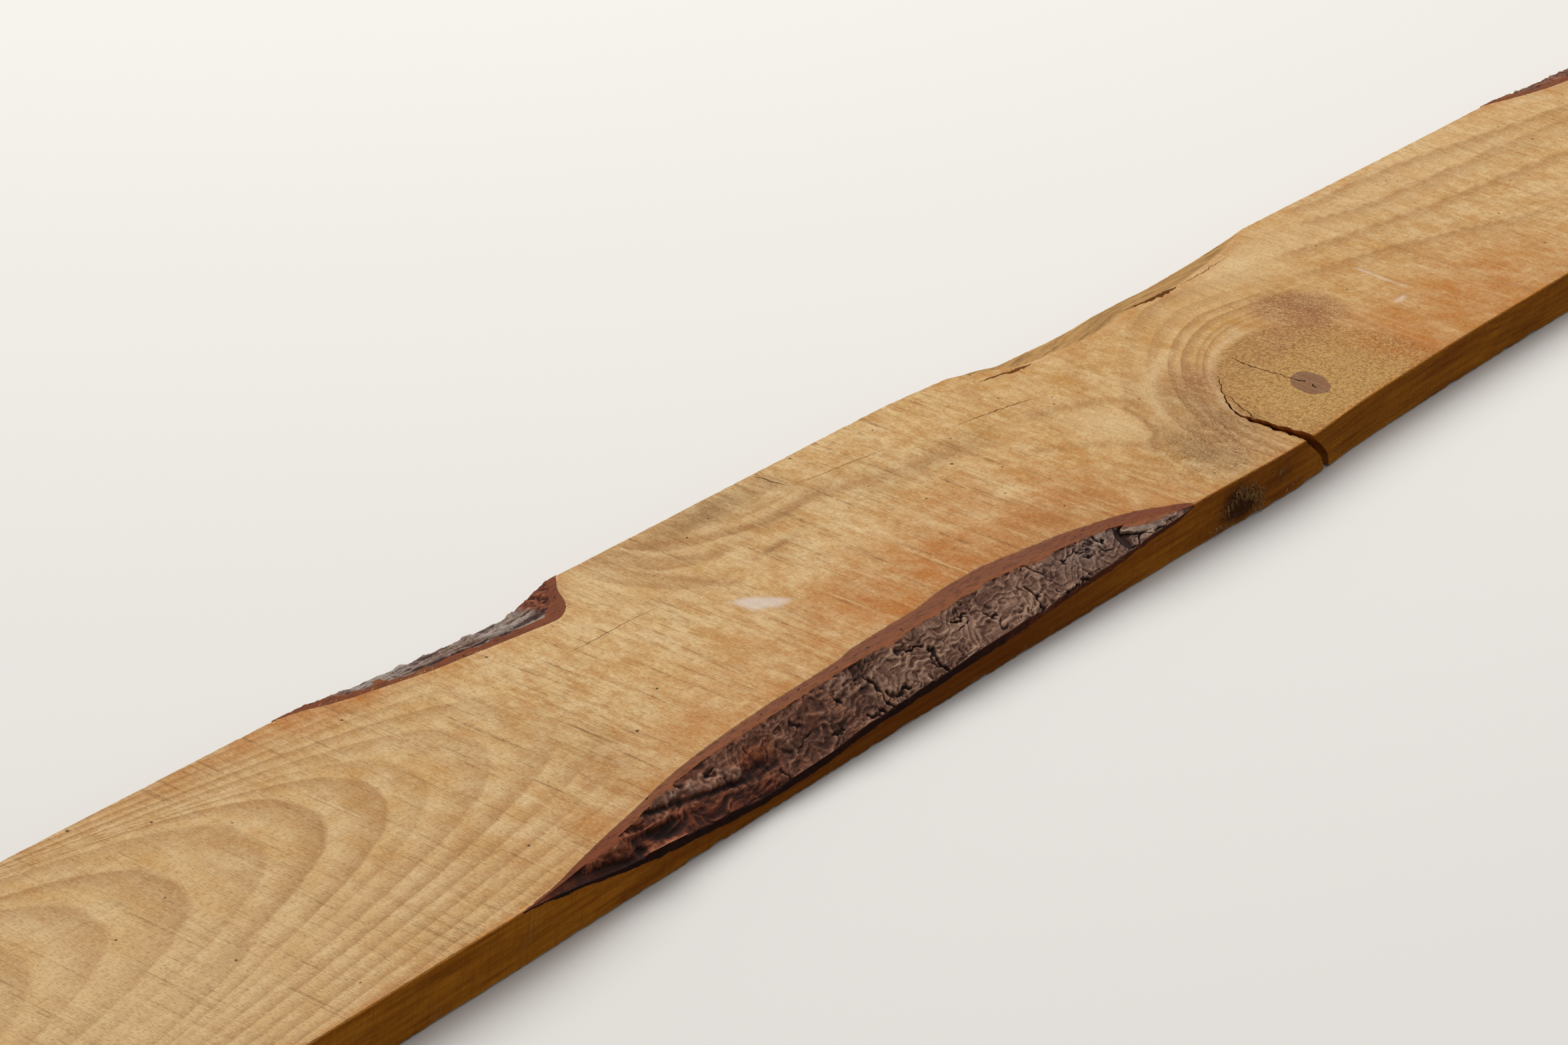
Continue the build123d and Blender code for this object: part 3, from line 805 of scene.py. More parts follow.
# Chalky dust in thin smears and in one patch with ragged edges.
smear = add(tree, "Math", {0: noise["wobble"], 1: read["chalk"]}, operation="ADD")
smear = add(tree, "Math", {0: noise["fur"], 1: 0.5, 2: smear}, operation="MULTIPLY_ADD")
smear = add(tree, "MapRange", {0: smear, 1: 1.15, 2: 1.5, 3: 0.0, 4: 0.6})
dust = add(tree, "Math", {0: noise["blotch"], 1: 9.0, 2: read["chalk_depth"]}, operation="MULTIPLY_ADD")
dust = add(tree, "Math", {0: noise["fur"], 1: 3.0, 2: dust}, operation="MULTIPLY_ADD")
dust = add(tree, "MapRange", {0: dust, 1: 5.3, 2: 8.6, 3: 0.0, 4: 0.62})
chalk_share = add(tree, "Math", {0: smear, 1: dust}, operation="MAXIMUM")
rounded = add(tree, "Mix", {0: read["round"], 6: painted["face"], 7: painted["bare"]}, data_type="RGBA")
chalked = add(tree, "Mix", {0: chalk_share, 6: rounded, 7: linear(chalk_white)}, data_type="RGBA")
# The near edge face and the crack walls take the edge face's colours, with their painted bounce light and shade.
tinted = add(tree, "Mix", {0: read["side"], 6: chalked, 7: painted["side"]}, data_type="RGBA")

# Relief too fine for the mesh: each pattern, what it is multiplied by, and its height in millimetres.
relief = 0.0
for pattern, force, height in ((noise["mark"], saw_force, 0.3), (noise["hair"], saw_force, -0.25),
                               (noise["fur"], 1.0, -0.22), (fibre, 1.0, -0.16), (speck_share, 1.0, -0.2),
                               (noise["tear"], read["torn"], -0.8), (noise["end grain"], bristle, -0.7),
                               (noise["tear"], read["furry_and_shade"], -2.0), (noise["kerf"], read["side"], -0.5),
                               (noise["streak"], read["round"], -0.8)):
    felt = add(tree, "Math", {0: pattern, 1: force}, operation="MULTIPLY")
    relief = add(tree, "Math", {0: felt, 1: height, 2: relief}, operation="MULTIPLY_ADD")
bump = add(tree, "Bump", {"Strength": 1.0, "Distance": 0.001, "Height": relief})
finish = add(tree, "BsdfPrincipled", {"Base Color": tinted, "Roughness": 0.8, "Specular IOR Level": 0.15,
                                      "Normal": bump})
add(tree, "OutputMaterial", {"Surface": finish})

board.data.materials.clear()
board.data.materials.append(pine)
board.data.polygons.foreach_set("use_smooth", np.ones(len(board.data.polygons), bool))
board.data.set_sharp_from_angle(angle=math.radians(32))
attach(board, "root")
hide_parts("plank")


# Torn fibres
# Short fibres of the board's own wood that the saw tore loose. Left of the knot they are still rooted in the near edge
# face, bend outwards and hang down it, and along the far notch they stick out over the bark.

# Each bunch on the face: its middle along and up, its reach both ways, and its number of fibres.
fibre_spots = np.array([(188, 18, 5, 2.5, 90), (197, 15, 6, 3.5, 120), (205, 10, 5, 4, 80), (180, 12, 8, 4, 50),
                        (209, 3.8, 4, 1.5, 50), (172, 4.0, 5, 1.2, 40), (222, 16, 5, 3, 24), (236, 5.0, 6, 1.8, 26)])
# Each bunch along the notch: its middle, its reach and its number of fibres.
fringe_spots = [(-247, 7, 22), (-226, 6, 34), (-206, 4, 22), (-186, 3, 14), (-176, 2, 12), (-121, 2.0, 16)]
chance = np.random.default_rng(601)
spot_x, spot_z, spread_x, spread_z = np.repeat(fibre_spots[:, :4], fibre_spots[:, 4].astype(int), axis=0).T
root_x = spot_x + spread_x * chance.normal(0, 0.55, spot_x.shape)
root_z = np.clip(spot_z + spread_z * chance.normal(0, 0.6, spot_x.shape), 3.2, 23.5)
reach = chance.uniform(0.8, 2.8, spot_x.shape)
slant = chance.normal(0.5, 0.8, spot_x.shape)
thick = chance.uniform(0.08, 0.22, spot_x.shape)

# A hanging fibre is an arc out of the face and back: its height falls ever faster along it, and its distance from the
# face follows a sine. Seven points run along each.
t = np.linspace(0, 1, 7)[None, :]
stem_x = root_x[:, None] + slant[:, None] * reach[:, None] * t
stem_y = (-half_width + smooth_line(near_inset, root_x) + 0.35)[:, None]
stem_y = np.maximum(stem_y - 1.15 * np.sin(t * 2.2) * (0.55 + 0.45 * t), -half_width + 0.25)
stem_z = np.maximum(root_z[:, None] - reach[:, None] * t * (0.35 + 0.65 * t), 0.3)
stem = np.stack([stem_x, stem_y, stem_z], axis=2)

# A fringe fibre lies nearly level, turns a little across as it leaves the wood, and lifts and droops by a sine.
fringe_x = np.concatenate([chance.normal(middle, width, number) for middle, width, number in fringe_spots])
fringe_x = np.clip(fringe_x, -262, -118)
fringe_reach = chance.uniform(1.5, 5.0, fringe_x.shape)[:, None]
fringe_way = chance.normal(0.25, 0.3, fringe_x.shape)[:, None]
fringe_lift = chance.uniform(0.1, 0.9, fringe_x.shape)[:, None]
fringe_root = smooth_line(notch_wood, fringe_x)[:, None] + chance.uniform(-0.4, 1.2, fringe_x.shape)[:, None]
fringe_y = fringe_root + fringe_reach * np.sin(fringe_way) * t * (0.4 + 0.6 * t)
fringe = np.stack([fringe_x[:, None] + fringe_reach * np.cos(fringe_way) * t, np.minimum(fringe_y, half_width - 0.5),
                   thickness - 0.55 + fringe_lift * np.sin(t * 2.6) * 0.45 + 0 * t], axis=2)
stem = np.concatenate([stem, fringe])
thick = np.concatenate([thick, chance.uniform(0.08, 0.18, fringe_x.shape)])
tone = np.concatenate([chance.uniform(0, 1, spot_x.shape), chance.uniform(0.1, 0.8, fringe_x.shape)])

# Each fibre is a thin square tube that tapers to a fifth of its width.
width = (thick[:, None] * (1 - 0.8 * t))[:, :, None, None]
corners = np.array([[1, 0, 0], [0, 1, 0], [-1, 0, 0], [0, -1, 0]], float)[None, None]
fibre_points = stem[:, :, None, :] + width * corners
# The hanging fibres run down, so their corners go round the other way, and their faces point outwards too.
hanging = fibre_points[:len(spot_x)]
fibre_points = np.concatenate([hanging[:, :, ::-1], fibre_points[len(spot_x):]])
index = np.arange(fibre_points.size // 3).reshape(fibre_points.shape[:3])
turned = np.roll(index, -1, axis=2)
walls = np.stack([index[:, :-1], turned[:, :-1], turned[:, 1:], index[:, 1:]], axis=3).reshape(-1, 4)
ends = np.concatenate([index[:, 0, ::-1], index[:, -1]])
fibre_mesh = bpy.data.meshes.new("torn fibres")
fibre_mesh.from_pydata((fibre_points / 1000).reshape(-1, 3), [], np.concatenate([walls, ends]))

# Torn wood fibre: dull and warm, some fibres pale against the dark face behind them and some brown.
fibre_pale, fibre_brown = "#E2B678", "#7C4A20"
tone = np.repeat(tone, fibre_points[0].size // 3)
fibre_mesh.attributes.new("tone", "FLOAT", "POINT").data.foreach_set("value", tone.astype(np.float32))
fibre_stuff = bpy.data.materials.new("torn wood fibre")
fibre_stuff.use_nodes = True
tree = fibre_stuff.node_tree
tree.nodes.clear()
read_tone = add(tree, "Attribute", attribute_name="tone").outputs["Fac"]
toned = add(tree, "Mix", {0: read_tone, 6: linear(fibre_brown), 7: linear(fibre_pale)}, data_type="RGBA")
finish = add(tree, "BsdfPrincipled", {"Base Color": toned, "Roughness": 0.85, "Specular IOR Level": 0.2})
add(tree, "OutputMaterial", {"Surface": finish})
fibre_mesh.materials.append(fibre_stuff)
torn_fibres = bpy.data.objects.new("torn_fibres", fibre_mesh)
bpy.context.scene.collection.objects.link(torn_fibres)
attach(torn_fibres, "root")


# Near edge bark
# Pine bark left on the round of the log along the near edge: brown inner bark that the saw cut flat level with the
# wood, then crumpled outer bark that drops to the near edge face, with deep cracks and one curled grey flake.

# Where inner bark meets outer bark on the upper face, as (along, across), and how far down the near edge face the
# outer bark reaches, as (along, down).
near_bark = [(-300, -71.9), (-280, -70), (-250, -66), (-225, -62), (-210, -58.3), (-190, -55.3), (-160, -52.6),
             (-120, -51.6), (-80, -50.3), (-40, -50.6), (0, -48.6), (20, -49), (40, -51), (60, -53), (80, -55.5),
             (100, -58.5), (110, -61.5), (130, -67.5), (148, -72.4)]
bark_down = [(-300, 0.3), (-270, 3.0), (-245, 6.4), (-221, 9.6), (-199, 11.5), (-177, 13.4), (-154, 15.5), (-115, 14.9),
             (-99, 12.9), (-81, 11.7), (-62, 11.1), (-24, 9.9), (14, 8.9), (34, 8.6), (50, 7.2), (87, 5.6), (104, 4.2),
             (140, 2.2), (150, 0.5)]
# Deep cracks in the outer bark, each as its width and its points (along, across).
bark_cracks = [
    (0.8, [(-72.5, -57), (-71.5, -62), (-72.8, -67), (-71.0, -72)]), (0.7, [(-140, -68), (-139.5, -77)]),
    (0.8, [(-33.3, -60.5), (-34.3, -66), (-33.5, -72), (-31, -74.4), (-22, -74.6)]),
    (0.6, [(-14.5, -72.5), (-9, -74), (-4, -76.5)]), (0.7, [(36, -60), (36.2, -66), (34.5, -71), (33.4, -77)]),
    (0.5, [(28.5, -71.5), (28, -77)]), (0.6, [(50, -72.3), (57, -70.6), (68, -71.5)]),
    (1.1, [(-123, -57.2), (-118.5, -58.2)]), (0.6, [(-106.5, -67), (-103, -68), (-100, -67.2)]),
    (0.9, [(-94.5, -57.2), (-92.5, -58.5)]), (0.9, [(-69, -67), (-63.5, -68.6), (-58, -67.4)]),
    (0.6, [(-56, -71), (-50, -73.5)]), (0.8, [(-146, -65.5), (-150, -62), (-153, -57.5)]),
    (1.2, [(-160, -67), (-157, -73.5)]), (0.5, [(-12, -56), (-2, -56.6)]), (0.8, [(5.5, -61), (9.5, -62.5)]),
    (1.0, [(78, -63.3), (80, -63.8)]), (0.6, [(-85, -69), (-76, -71.5)]), (0.4, [(88, -58), (93, -62)]),
    (0.8, [(-178, -59), (-170, -61), (-166, -66)])]
# On the bare layer at the left: a ridge, a lip, and hollows, each as its middle, its reach both ways and its depth.
bare_ridge = [(-262, -69.5), (-248, -66.2), (-232, -65.5), (-214, -64.6), (-190, -62.8)]
bare_lip = [(-228.5, -72.2), (-223, -71.4), (-216.5, -71.6), (-205, -72.4)]
bare_hollows = [(-229.5, -69.6, 3.4, 1.5, 1.0), (-214, -68.6, 9, 1.2, 0.6), (-248, -70.8, 12, 1.2, 0.5)]
# Where the bark is bare below the beads, and where it has weathered grey on and round the curled flake.
bare_spots = [(-200, -69.5, 44, 5.0, 1.2), (-150, -60, 9, 6, 0.5)]
hoar_spots = [(121, -67, 15, 4.5, 0.55), (98, -60, 30, 3, 0.3), (82, -61, 26, 9, 0.22)]
# The curled flake's middle, its reach along and across it, and its slant; and the hollow beside it.
flake_middle = (119.5, -66)
flake_reach = (15.5, 4.4)
flake_slant = 0.23
flake_hollow = (102.0, -66.0, 2.4, 4.2)


def crumple(x, s, seed):
    """Crumpled thin layers of bark: crests that wander, fork and fold, of three sizes, drawn out along the log.
    Each crest is where a soft random field, taken at a warped place, passes through zero."""
    warp_x = x + 5.0 * lumps(x, s, 11.0, seed) + 2.0 * lumps(x, s, 4.5, seed + 1)
    warp_s = s + 3.4 * lumps(x, s, 12.0, seed + 2) + 1.5 * lumps(x, s, 4.5, seed + 3) + 0.18 * x
    height = 0
    for n, (size, weight) in enumerate(((5.2, 0.5), (2.7, 0.3), (1.4, 0.2))):
        height = height + weight * (1 - 3.2 * np.abs(lumps(warp_x * 0.42, warp_s, size, seed + 4 + n)))
    return height


def leaves(x, s, seed):
    """Thin leaves of bark, from 0 to 1: a soft random field cut into steps, where each leaf rises slowly and then
    drops at a crisp edge."""
    warp_x = x + 3.0 * lumps(x, s, 7.0, seed) + 1.2 * lumps(x, s, 3.0, seed + 1)
    warp_s = s + 2.4 * lumps(x, s, 7.0, seed + 2) + 1.0 * lumps(x, s, 3.0, seed + 3) + 0.2 * x
    field = 2.5 * lumps(warp_x * 0.35, warp_s, 6.5, seed + 4) + 0.2 * warp_s
    return (field - np.floor(field)) ** 1.4


def split_lines(x, s, seed):
    """Thin curving splits between layers, 1 on their lines: where a warped soft field is close to zero, in places."""
    warp_x = x + 3.5 * lumps(x, s, 8.0, seed) + 1.2 * lumps(x, s, 2.8, seed + 1)
    warp_s = s + 2.6 * lumps(x, s, 8.0, seed + 2) + 1.0 * lumps(x, s, 2.8, seed + 3) + 0.15 * x
    close = np.exp(-(lumps(warp_x * 0.4, warp_s, 5.5, seed + 4) / 0.055) ** 2)
    return close * np.clip(2.6 * lumps(x, s, 6.5, seed + 5) - 0.1, 0, 1)


def softened(values, rounds):
    """The values of a grid evened out by averaging each with its neighbours along and across, this many times."""
    for _ in range(rounds):
        wide = np.pad(values, 1, mode="edge")
        values = (wide[:-2, 1:-1] + wide[2:, 1:-1] + wide[1:-1, :-2] + wide[1:-1, 2:] + 2 * values) / 6
    return values


def bark_strip(name, X, side, wood_line, bark_line, face, low, wood_low, drop, rough, raw, hoar, cut_red, rows):
    """A closed strip of bark: sawn flat from the wood's edge to the outer bark, then the rough outer face down to
    the board's edge face, the sawn section there, and a plain back in the wood. side is -1 for the near edge and 1
    for the far one. At each place along the strip wood_line and bark_line say where wood meets inner bark and inner
    meets outer, face where the edge face is, low and wood_low how high outer bark and wood reach on it, and cut_red
    how dark and red the sawn part is. At any point along and across drop says how far the plain outer face lies
    below the upper face, rough its relief, raw where an inner layer is bare and hoar where it has weathered
    grey. rows is the number of points across the outer face."""
    cut_t = np.linspace(0, 1, 12)[None, :]
    cut_y = wood_line - side * 0.4 + (bark_line - wood_line + side * 0.4) * cut_t
    cut_z = board_top + 0.12 * lumps(X, cut_y, 1.3, 61) + 0.1 * lumps(X, cut_y, 4.0, 62)
    cut_z = cut_z - 0.45 * (1 - np.clip(cut_t * 6, 0, 1))

    t = np.linspace(0, 1, rows)[None, 1:]
    plain_y = bark_line + (face - bark_line) * t
    plain_z = board_top - drop(X, plain_y)
    run_y, run_z = face - bark_line, plain_z[:, -1:] - board_top
    run = np.hypot(run_y, run_z) + 1e-6
    # The relief never cuts deeper than the bark is thick, and fades out towards the strip's two tips.
    thick = np.abs(wood_line - bark_line) * -run_z / run * (1 - t) + (low - wood_low) * np.abs(run_y) / run * t
    grid_x = np.broadcast_to(X, plain_y.shape)
    height = rough(grid_x, plain_y) + 0.08 * lumps(grid_x, plain_y, 0.9, 92)
    height = np.clip(height, -np.maximum(thick - 0.5, 0.1), 1.4)
    height = height * np.clip((grid_x - X[0]) / 22, 0, 1) * np.clip((X[-1] - grid_x) / 14, 0, 1)
    # How far each point stands above its softened surroundings, for the bark's painted highlights and shade.
    proud = height - softened(height, 14)
    outer_y = plain_y + side * -run_z / run * height
    outer_z = plain_z + np.abs(run_y) / run * height
    outer_y = side * np.minimum(side * outer_y, np.minimum(side * face + 0.8 * np.clip(height, 0, 1), half_width))
    flat_top = board_top + 0.08 * lumps(grid_x, outer_y, 1.3, 61)
    sawn = np.clip((outer_z - flat_top + 0.15) / 0.1, 0, 1)
    outer_z = np.minimum(outer_z, flat_top)

    t = np.linspace(0, 1, 9)[None, 1:]
    under_y = face - side * (0.15 * lumps(X, t * 20, 1.4, 95) - 0.1)
    under_z = outer_z[:, -1:] + (wood_low - 0.5 - outer_z[:, -1:]) * t + t * 0.4 * lumps(X, 0 * t, 5.0, 96)
    t = np.linspace(0, 1, 5)[None, 1:-1]
    back_y = (face - side * 0.6) + (wood_line - face) * t
    back_z = (wood_low - 0.7) + (board_top - 0.1 - wood_low) * t

    across = np.concatenate([cut_y, outer_y, under_y, back_y], axis=1)
    upward = np.concatenate([cut_z, outer_z, under_z, back_z], axis=1)
    loops = np.stack([np.broadcast_to(X, across.shape), across, upward], axis=2)
    # Each trait's values on the sawn band, the outer face, and the edge with the back.
    band, last = 0 * cut_z, 0 * np.concatenate([under_z, back_z], axis=1)
    traits = {
        # On the edge strip under the bark the relief sinks, most at the left, to paint a dark shadow under the
        # overhanging bark.
        "relief": (band, height, last - 0.2 - 1.5 * np.clip((30 - X) / 60, 0, 1)),
        "proud": (band, proud, last),
        "sawn": (band + 1, sawn, last),
        "raw": (band + cut_red, raw(grid_x, plain_y), last + 0.9),
        "hoar": (band, hoar(grid_x, plain_y), last),
        "outward": (band + cut_t, 0 * height + 1, last + 1),
        "band": (np.abs(wood_line - bark_line) * (1 - cut_t), 0 * height, last),
    }
    order = slice(None, None, side)
    mesh = tube_mesh(name, loops[:, order])
    for trait, parts in traits.items():
        values = np.concatenate(parts, axis=1)[:, order]
        mesh.attributes.new(trait, "FLOAT", "POINT").data.foreach_set("value", values.astype(np.float32).ravel())
    mesh.polygons.foreach_set("use_smooth", np.ones(len(mesh.polygons), bool))
    mesh.set_sharp_from_angle(angle=math.radians(50))
    piece = bpy.data.objects.new(name, mesh)
    bpy.context.scene.collection.objects.link(piece)
    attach(piece, "root")
    return piece


def near_raw(x, y):
    """Share of the near edge bark whose outer layers have fallen off: its left tip, and a tongue below the beads."""
    tip = np.clip((-216 - x) / 18, 0, 1)
    warm = 0.32 * np.clip((-50 - x) / 60, 0, 1)
    return np.clip(tip + warm + mounds(x, y, bare_spots), 0, 1)


def near_row(x, y):
    """Share of the row of beads near the left tip: a wavering stripe along the bark's upper edge."""
    row = np.clip(1.3 - np.abs(y + 59.0 + 0.07 * (x + 190)) / 2.0 + 0.9 * lumps(x, y, 3.4, 88), 0, 1)
    return row * np.clip((-150 - x) / 12, 0, 1) * np.clip((x + 226) / 8, 0, 1)


def near_rough(x, y):
    """Relief of the near edge bark: crumpled layers over most of it, the deep cracks, one curled flake near the right
    end over a hollow, and at the left a bare grooved inner layer with a row of beads along its top."""
    s = -y
    rough_share = 0.35 + 0.75 * np.clip(0.5 + 1.1 * lumps(x, s, 12.0, 151), 0, 1)
    height = 0.95 * crumple(x, s, 111) * rough_share + 0.45 * leaves(x, s, 131) + 0.6 * lumps(x * 0.7, s, 9.0, 91)
    height = height - 1.2 * split_lines(x, s, 161)
    for width, line in bark_cracks:
        height = height - 1.7 * near_line(x, y, line, width * 1.2, 301, 1.5)
    flake_x, flake_y = x - flake_middle[0], y - flake_middle[1]
    reach = np.hypot((flake_x - 0.4 * flake_y) / flake_reach[0], (flake_y + flake_slant * flake_x) / flake_reach[1])
    reach = reach + 0.14 * lumps(x, y, 3.5, 401)
    curled = 1.3 - 0.8 * reach**2 + 0.5 * lumps(x * 0.3, y + 0.2 * x, 1.6, 402)
    height = np.where(reach < 1, np.maximum(height, curled), height - 2.4 * mound(x, y, *flake_hollow))
    bare = near_raw(x, y)
    grooves = -0.5 + 1.2 * lumps(x * 0.16, y + 0.06 * x, 3.6, 81) + 0.7 * crumple(x * 0.6, s * 1.3, 191)
    height = height * (1 - bare) + grooves * bare
    ridge = near_line(x, y, bare_ridge, 1.5, 311)
    lip = near_line(x, y, bare_lip, 1.2, 321, 0.5)
    height = height + (1.1 * ridge + 1.7 * lip - 2.6 * mounds(x, y, bare_hollows)) * bare
    bead_x = x + 1.5 * lumps(x, y, 3.3, 85)
    beads = (0.1 + 0.9 * np.abs(lumps(bead_x * 0.8, y, 2.4, 83)) + 0.55 * lumps(bead_x, y, 1.3, 84)
             + 0.5 * lumps(x, y, 5.0, 86))
    under_beads = np.exp(-((y + 62.4 + 0.07 * (x + 190)) / 1.1) ** 2)
    under_beads = under_beads * np.clip((-150 - x) / 12, 0, 1) * np.clip((x + 222) / 8, 0, 1)
    height = height - 1.3 * under_beads
    row = near_row(x, y)
    return np.maximum(height, height * (1 - row) + beads * row)


near_places = np.arange(-299.0, 149.5, 0.5)[:, None]
near_face = -half_width + smooth_line(near_inset, near_places) + 0.2
near_wood_at = np.maximum(smooth_line(near_wood, near_places), near_face)
near_bark_at = np.clip(smooth_line(near_bark, near_places), near_face, near_wood_at)
near_low_at = thickness - smooth_line(bark_down, near_places)
near_wood_low = thickness - smooth_line(near_down, near_places)


def near_drop(x, y):
    """Fall of the near edge's plain outer bark: an even slope from the inner bark down to the edge face."""
    return (board_top - near_low_at) * (near_bark_at - y) / np.maximum(near_bark_at - near_face, 0.01)


def near_hoar(x, y):
    """Share of weathered grey: the curled flake, the bark round it and the row of beads."""
    return np.clip(mounds(x, y, hoar_spots) + near_row(x, y) * 0.16, 0, 1)


near_cut_red = np.interp(near_places, [-300, -262, -238, -218, 60, 110, 150], [0.9, 0.9, 0.7, 0, 0.1, 0.6, 1.0])
near_piece = bark_strip("near_edge_bark", near_places, -1, near_wood_at, near_bark_at, near_face, near_low_at,
                        near_wood_low, near_drop, near_rough, near_raw, near_hoar, near_cut_red, 58)

# Pine bark: dull brown crumpled layers with a mauve cast, with painted highlights on their crests and painted shade,
# almost black, in their hollows and cracks, red-brown where an inner layer is bare, and an even warm brown with rows
# of small pits where the saw cut it.
crest_highlight, layer_brown, layer_shade, crack_shade = "#A4826A", "#6B4938", "#422519", "#24120A"
inner_brown, inner_orange, inner_dark, hoar_grey = "#804C30", "#8C5029", "#3E2014", "#A49A90"
raw_highlight, raw_red, raw_shade = "#A8603A", "#743414", "#3A1408"

bark_stuff = bpy.data.materials.new("pine bark")
bark_stuff.use_nodes = True
tree = bark_stuff.node_tree
tree.nodes.clear()
read = {name: add(tree, "Attribute", attribute_name=name).outputs["Fac"]
        for name in ("relief", "proud", "sawn", "raw", "hoar", "outward", "band")}
place = add(tree, "VectorMath", {0: add(tree, "TexCoord").outputs["Object"], "Scale": 1000.0}, operation="SCALE")
grit = add(tree, "TexNoise", {"Vector": place, "Scale": 1 / 1.1, "Detail": 3.0, "Roughness": 0.6})
cloud = add(tree, "TexNoise", {"Vector": place, "Scale": 1 / 9.0, "Detail": 3.0, "Roughness": 0.6})
thread_place = add(tree, "VectorMath", {0: place, 1: (1 / 6.0, 1 / 0.9, 1 / 0.9)}, operation="MULTIPLY")
thread = add(tree, "TexNoise", {"Vector": thread_place, "Scale": 1.0, "Detail": 3.0, "Roughness": 0.6})

# The outer bark, by how proud of its surroundings each point stands: painted highlights where it stands proud and
# painted shade in its hollows and cracks, with a random tone from two noises.
bark_painted_light = add(tree, "Math", {0: read["proud"], 1: 1.5}, operation="MULTIPLY")
bark_painted_light = add(tree, "Math", {0: read["relief"], 1: 0.45, 2: bark_painted_light}, operation="MULTIPLY_ADD")
bark_painted_light = add(tree, "Math", {0: grit, 1: 0.7, 2: bark_painted_light}, operation="MULTIPLY_ADD")
bark_painted_light = add(tree, "Math", {0: cloud, 1: 1.3, 2: bark_painted_light}, operation="MULTIPLY_ADD")
painted_light_share = add(tree, "MapRange", {0: bark_painted_light, 1: 0.0, 2: 1.9, 3: 0.0, 4: 1.0})
outer_stops = [(0.0, crack_shade), (0.26, layer_shade), (0.55, layer_brown), (1.0, crest_highlight)]
outer = add(tree, "ValToRGB", {0: painted_light_share}, stops=outer_stops)
# The bare inner layer gets the same painted highlights and shade, in red-browns.
raw_share = add(tree, "Math", {0: cloud, 1: read["raw"]}, operation="ADD")
raw_share = add(tree, "MapRange", {0: raw_share, 1: 0.62, 2: 1.25, 3: 0.0, 4: 0.8})
raw_stops = [(0.0, crack_shade), (0.3, raw_shade), (0.55, raw_red), (1.0, raw_highlight)]
inner_layer = add(tree, "ValToRGB", {0: painted_light_share}, stops=raw_stops)
rawed = add(tree, "Mix", {0: raw_share, 6: outer, 7: inner_layer}, data_type="RGBA")
hoar_thread = add(tree, "MapRange", {0: thread, 1: 0.38, 2: 0.62, 3: 0.3, 4: 1.0})
hoar_share = add(tree, "Math", {0: hoar_thread, 1: read["hoar"]}, operation="MULTIPLY")
hoar_high = add(tree, "MapRange", {0: painted_light_share, 1: 0.25, 2: 0.6, 3: 0.05, 4: 1.0})
hoar_share = add(tree, "Math", {0: hoar_share, 1: hoar_high}, operation="MULTIPLY")
hoared = add(tree, "Mix", {0: hoar_share, 6: rawed, 7: linear(hoar_grey)}, data_type="RGBA")

# The sawn inner bark: redder at the strip's tips, foxier towards its outer side, with small dark pits in rows along
# it.
inner_share = add(tree, "MapRange", {0: read["band"], 1: 2.6, 2: 0.6, 3: 0.0, 4: 0.75})
inner = add(tree, "Mix", {0: inner_share, 6: linear(inner_brown), 7: linear(inner_orange)}, data_type="RGBA")
cut_share = add(tree, "Math", {0: read["raw"], 1: 0.75}, operation="MULTIPLY")
inner = add(tree, "Mix", {0: cut_share, 6: inner, 7: linear(raw_red)}, data_type="RGBA")
inner_thread = add(tree, "MapRange", {0: thread, 1: 0.48, 2: 0.7, 3: 0.0, 4: 0.6})
inner = add(tree, "Mix", {0: inner_thread, 6: inner, 7: linear(inner_dark)}, data_type="RGBA")
pit_place = add(tree, "VectorMath", {0: place, 1: (1 / 3.6, 1 / 1.8, 1 / 1.8)}, operation="MULTIPLY")
pit_place = add(tree, "VectorMath", {0: grit.outputs["Color"], 1: (0.5, 0.5, 0.5), 2: pit_place},
                operation="MULTIPLY_ADD")
pit = add(tree, "TexVoronoi", {"Vector": pit_place, "Scale": 1.0, "Randomness": 1.0})
pit_own = add(tree, "SeparateXYZ", {0: pit.outputs["Color"]})
pit_own = add(tree, "MapRange", {0: pit_own, 1: 0.2, 2: 1.0, 3: -0.12, 4: 0.12})
pit_row = add(tree, "Math", {0: read["band"], 1: 3.0, 2: 0.9}, operation="COMPARE")
pit_row = add(tree, "MapRange", {0: pit_row, 3: 0.05, 4: 0.2})
pit_share = add(tree, "Math", {0: pit_row, 1: pit.outputs["Distance"]}, operation="SUBTRACT")
pit_share = add(tree, "Math", {0: pit_share, 1: pit_own}, operation="ADD")
pit_share = add(tree, "MapRange", {0: pit_share, 1: 0.0, 2: 0.08, 3: 0.0, 4: 0.9})
inner = add(tree, "Mix", {0: pit_share, 6: inner, 7: linear(inner_dark)}, data_type="RGBA")
sawn_share = add(tree, "MapRange", {0: read["sawn"], 1: 0.35, 2: 0.65, 3: 0.0, 4: 1.0})
barked = add(tree, "Mix", {0: sawn_share, 6: hoared, 7: inner}, data_type="RGBA")

# Relief too fine for the mesh, in millimetres.
relief = add(tree, "Math", {0: grit, 1: 0.35}, operation="MULTIPLY")
relief = add(tree, "Math", {0: thread, 1: 0.4, 2: relief}, operation="MULTIPLY_ADD")
relief = add(tree, "Math", {0: pit_share, 1: -0.3, 2: relief}, operation="MULTIPLY_ADD")
bump = add(tree, "Bump", {"Strength": 1.0, "Distance": 0.001, "Height": relief})
finish = add(tree, "BsdfPrincipled", {"Base Color": barked, "Roughness": 0.85, "Specular IOR Level": 0.25,
                                      "Normal": bump})
add(tree, "OutputMaterial", {"Surface": finish})
near_piece.data.materials.append(bark_stuff)


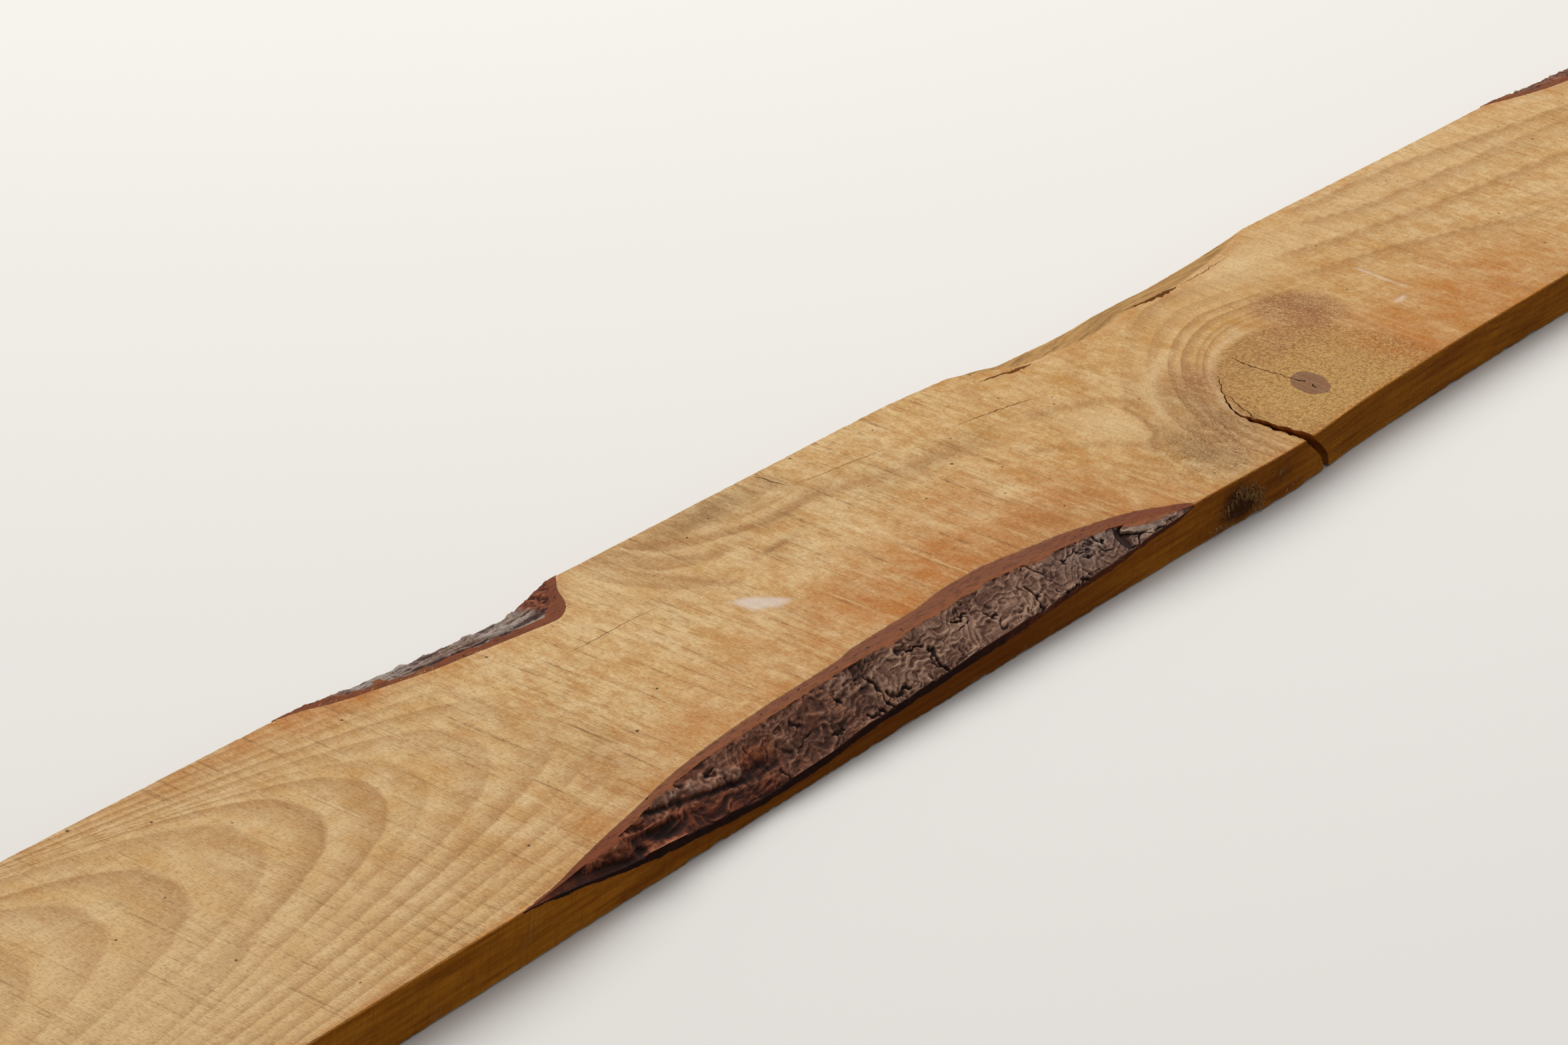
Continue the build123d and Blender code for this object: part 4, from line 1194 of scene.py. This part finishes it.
# Notch bark
# In the notch of the far edge the bark lies in long grey weathered flakes on a red-brown layer, and the notch ends
# in a steep hollow wall where the log's round turned in.
notch_bark = [(-272, 75.6), (-258, 73.8), (-244, 70.4), (-232, 67.6), (-214, 64.0), (-198, 61.2), (-181, 59.6),
              (-164, 57.6), (-146, 55.9), (-136, 55.6), (-130, 58.0), (-124, 62.5), (-118, 68.0), (-112, 74.0)]
notch_places = np.arange(-270.0, -105.0, 0.55)[:, None]
notch_face = half_width - smooth_line(far_inset, notch_places) - 0.3
notch_wood_at = np.minimum(smooth_line(notch_wood, notch_places), notch_face)
notch_bark_at = smooth_line(notch_bark, notch_places) + 0.9 * lumps(notch_places, 0 * notch_places, 4.0, 174)
notch_bark_at = np.clip(notch_bark_at, notch_wood_at, notch_face)


def notch_drop(x, y):
    """Fall of the notch's outer bark below the upper face: the log's round, and the hollow wall at its right end."""
    round_fall = np.clip(y - notch_bark_at, 0, None) * round_slope
    wall_line = notch_end_along - 3.5 + (y - notch_end_across) * notch_end_slant
    wall_fall = np.clip(wall_line - x, 0, None) * notch_end_slope * 0.9
    return np.minimum(round_fall, wall_fall)


def notch_raw(x, y):
    """Share of the notch bark that is bare and red: its end wall and its left tip."""
    return np.clip(np.clip((x + 134) / 6, 0, 1) + np.clip((-226 - x) / 16, 0, 1), 0, 1)


def notch_rough(x, y):
    """Relief of the notch bark: long flakes that follow the log, with dark splits between, and a smooth end wall."""
    flakes = 0.8 * crumple(x * 0.32, y * 0.9, 171) + 1.2 * leaves(x * 0.35, y, 181)
    flakes = flakes + 0.7 * lumps(x * 0.2, y, 3.4, 172) - 0.75 - 2.2 * split_lines(x * 0.35, y * 0.9, 191)
    seam = y - smooth_line(notch_bark, x) - 1.6 - 0.8 * lumps(x, 0 * y, 6.0, 192)
    flakes = flakes - 1.6 * np.exp(-(seam / 0.8) ** 2) * np.clip(0.4 + 1.5 * lumps(x, 0 * y, 14.0, 193), 0, 1)
    wall = notch_raw(x, y)
    return flakes * (1 - wall) + wall * (0.5 * lumps(x, y * 0.6, 2.4, 173) + 0.35 * lumps(x, y, 1.1, 175) - 0.1)


def notch_hoar(x, y):
    """Share of weathered grey: all of the notch bark but its bare parts, in drifts along the log."""
    return np.clip(1 - notch_raw(x, y), 0, 1) * np.clip(0.75 + 0.7 * lumps(x * 0.5, y, 7.0, 176), 0.1, 1)


notch_piece = bark_strip("notch_bark", notch_places, 1, notch_wood_at, notch_bark_at, notch_face,
                         board_top - notch_drop(notch_places, notch_face),
                         board_top - far_round(notch_places, notch_face), notch_drop, notch_rough, notch_raw,
                         notch_hoar, 0.75, 44)
notch_piece.data.materials.append(bark_stuff)


# Far end bark
# Further along the far edge a thin dark skin of bark is left on the round of the log.
end_places = np.arange(683.0, 1034.0, 0.9)[:, None]
end_face = half_width - smooth_line(far_inset, end_places) - 0.3
end_wood_at = np.minimum(smooth_line(end_wood, end_places), end_face)
end_bark_at = np.minimum(end_wood_at + 3.2, end_face)


def end_drop(x, y):
    """Fall of the far end's outer bark below the upper face, at the slope of the log's round."""
    return np.clip(y - end_bark_at, 0, None) * round_slope


def end_rough(x, y):
    """Relief of the far end bark: crumpled layers and thin leaves on slow swells."""
    return 0.75 * crumple(x, y, 271) + 0.4 * leaves(x, y, 281) + 0.4 * lumps(x * 0.6, y, 6.0, 272)


def end_raw(x, y):
    """Share of the far end bark that is bare and red, in wide patches."""
    return np.clip(0.2 + 0.45 * lumps(x, y, 30.0, 273), 0, 1)


def end_hoar(x, y):
    """No part of the far end bark has weathered grey."""
    return 0 * x


end_piece = bark_strip("far_end_bark", end_places, 1, end_wood_at, end_bark_at, end_face,
                       board_top - end_drop(end_places, end_face), board_top - far_round(end_places, end_face),
                       end_drop, end_rough, end_raw, end_hoar, 0.5, 44)
end_piece.data.materials.append(bark_stuff)
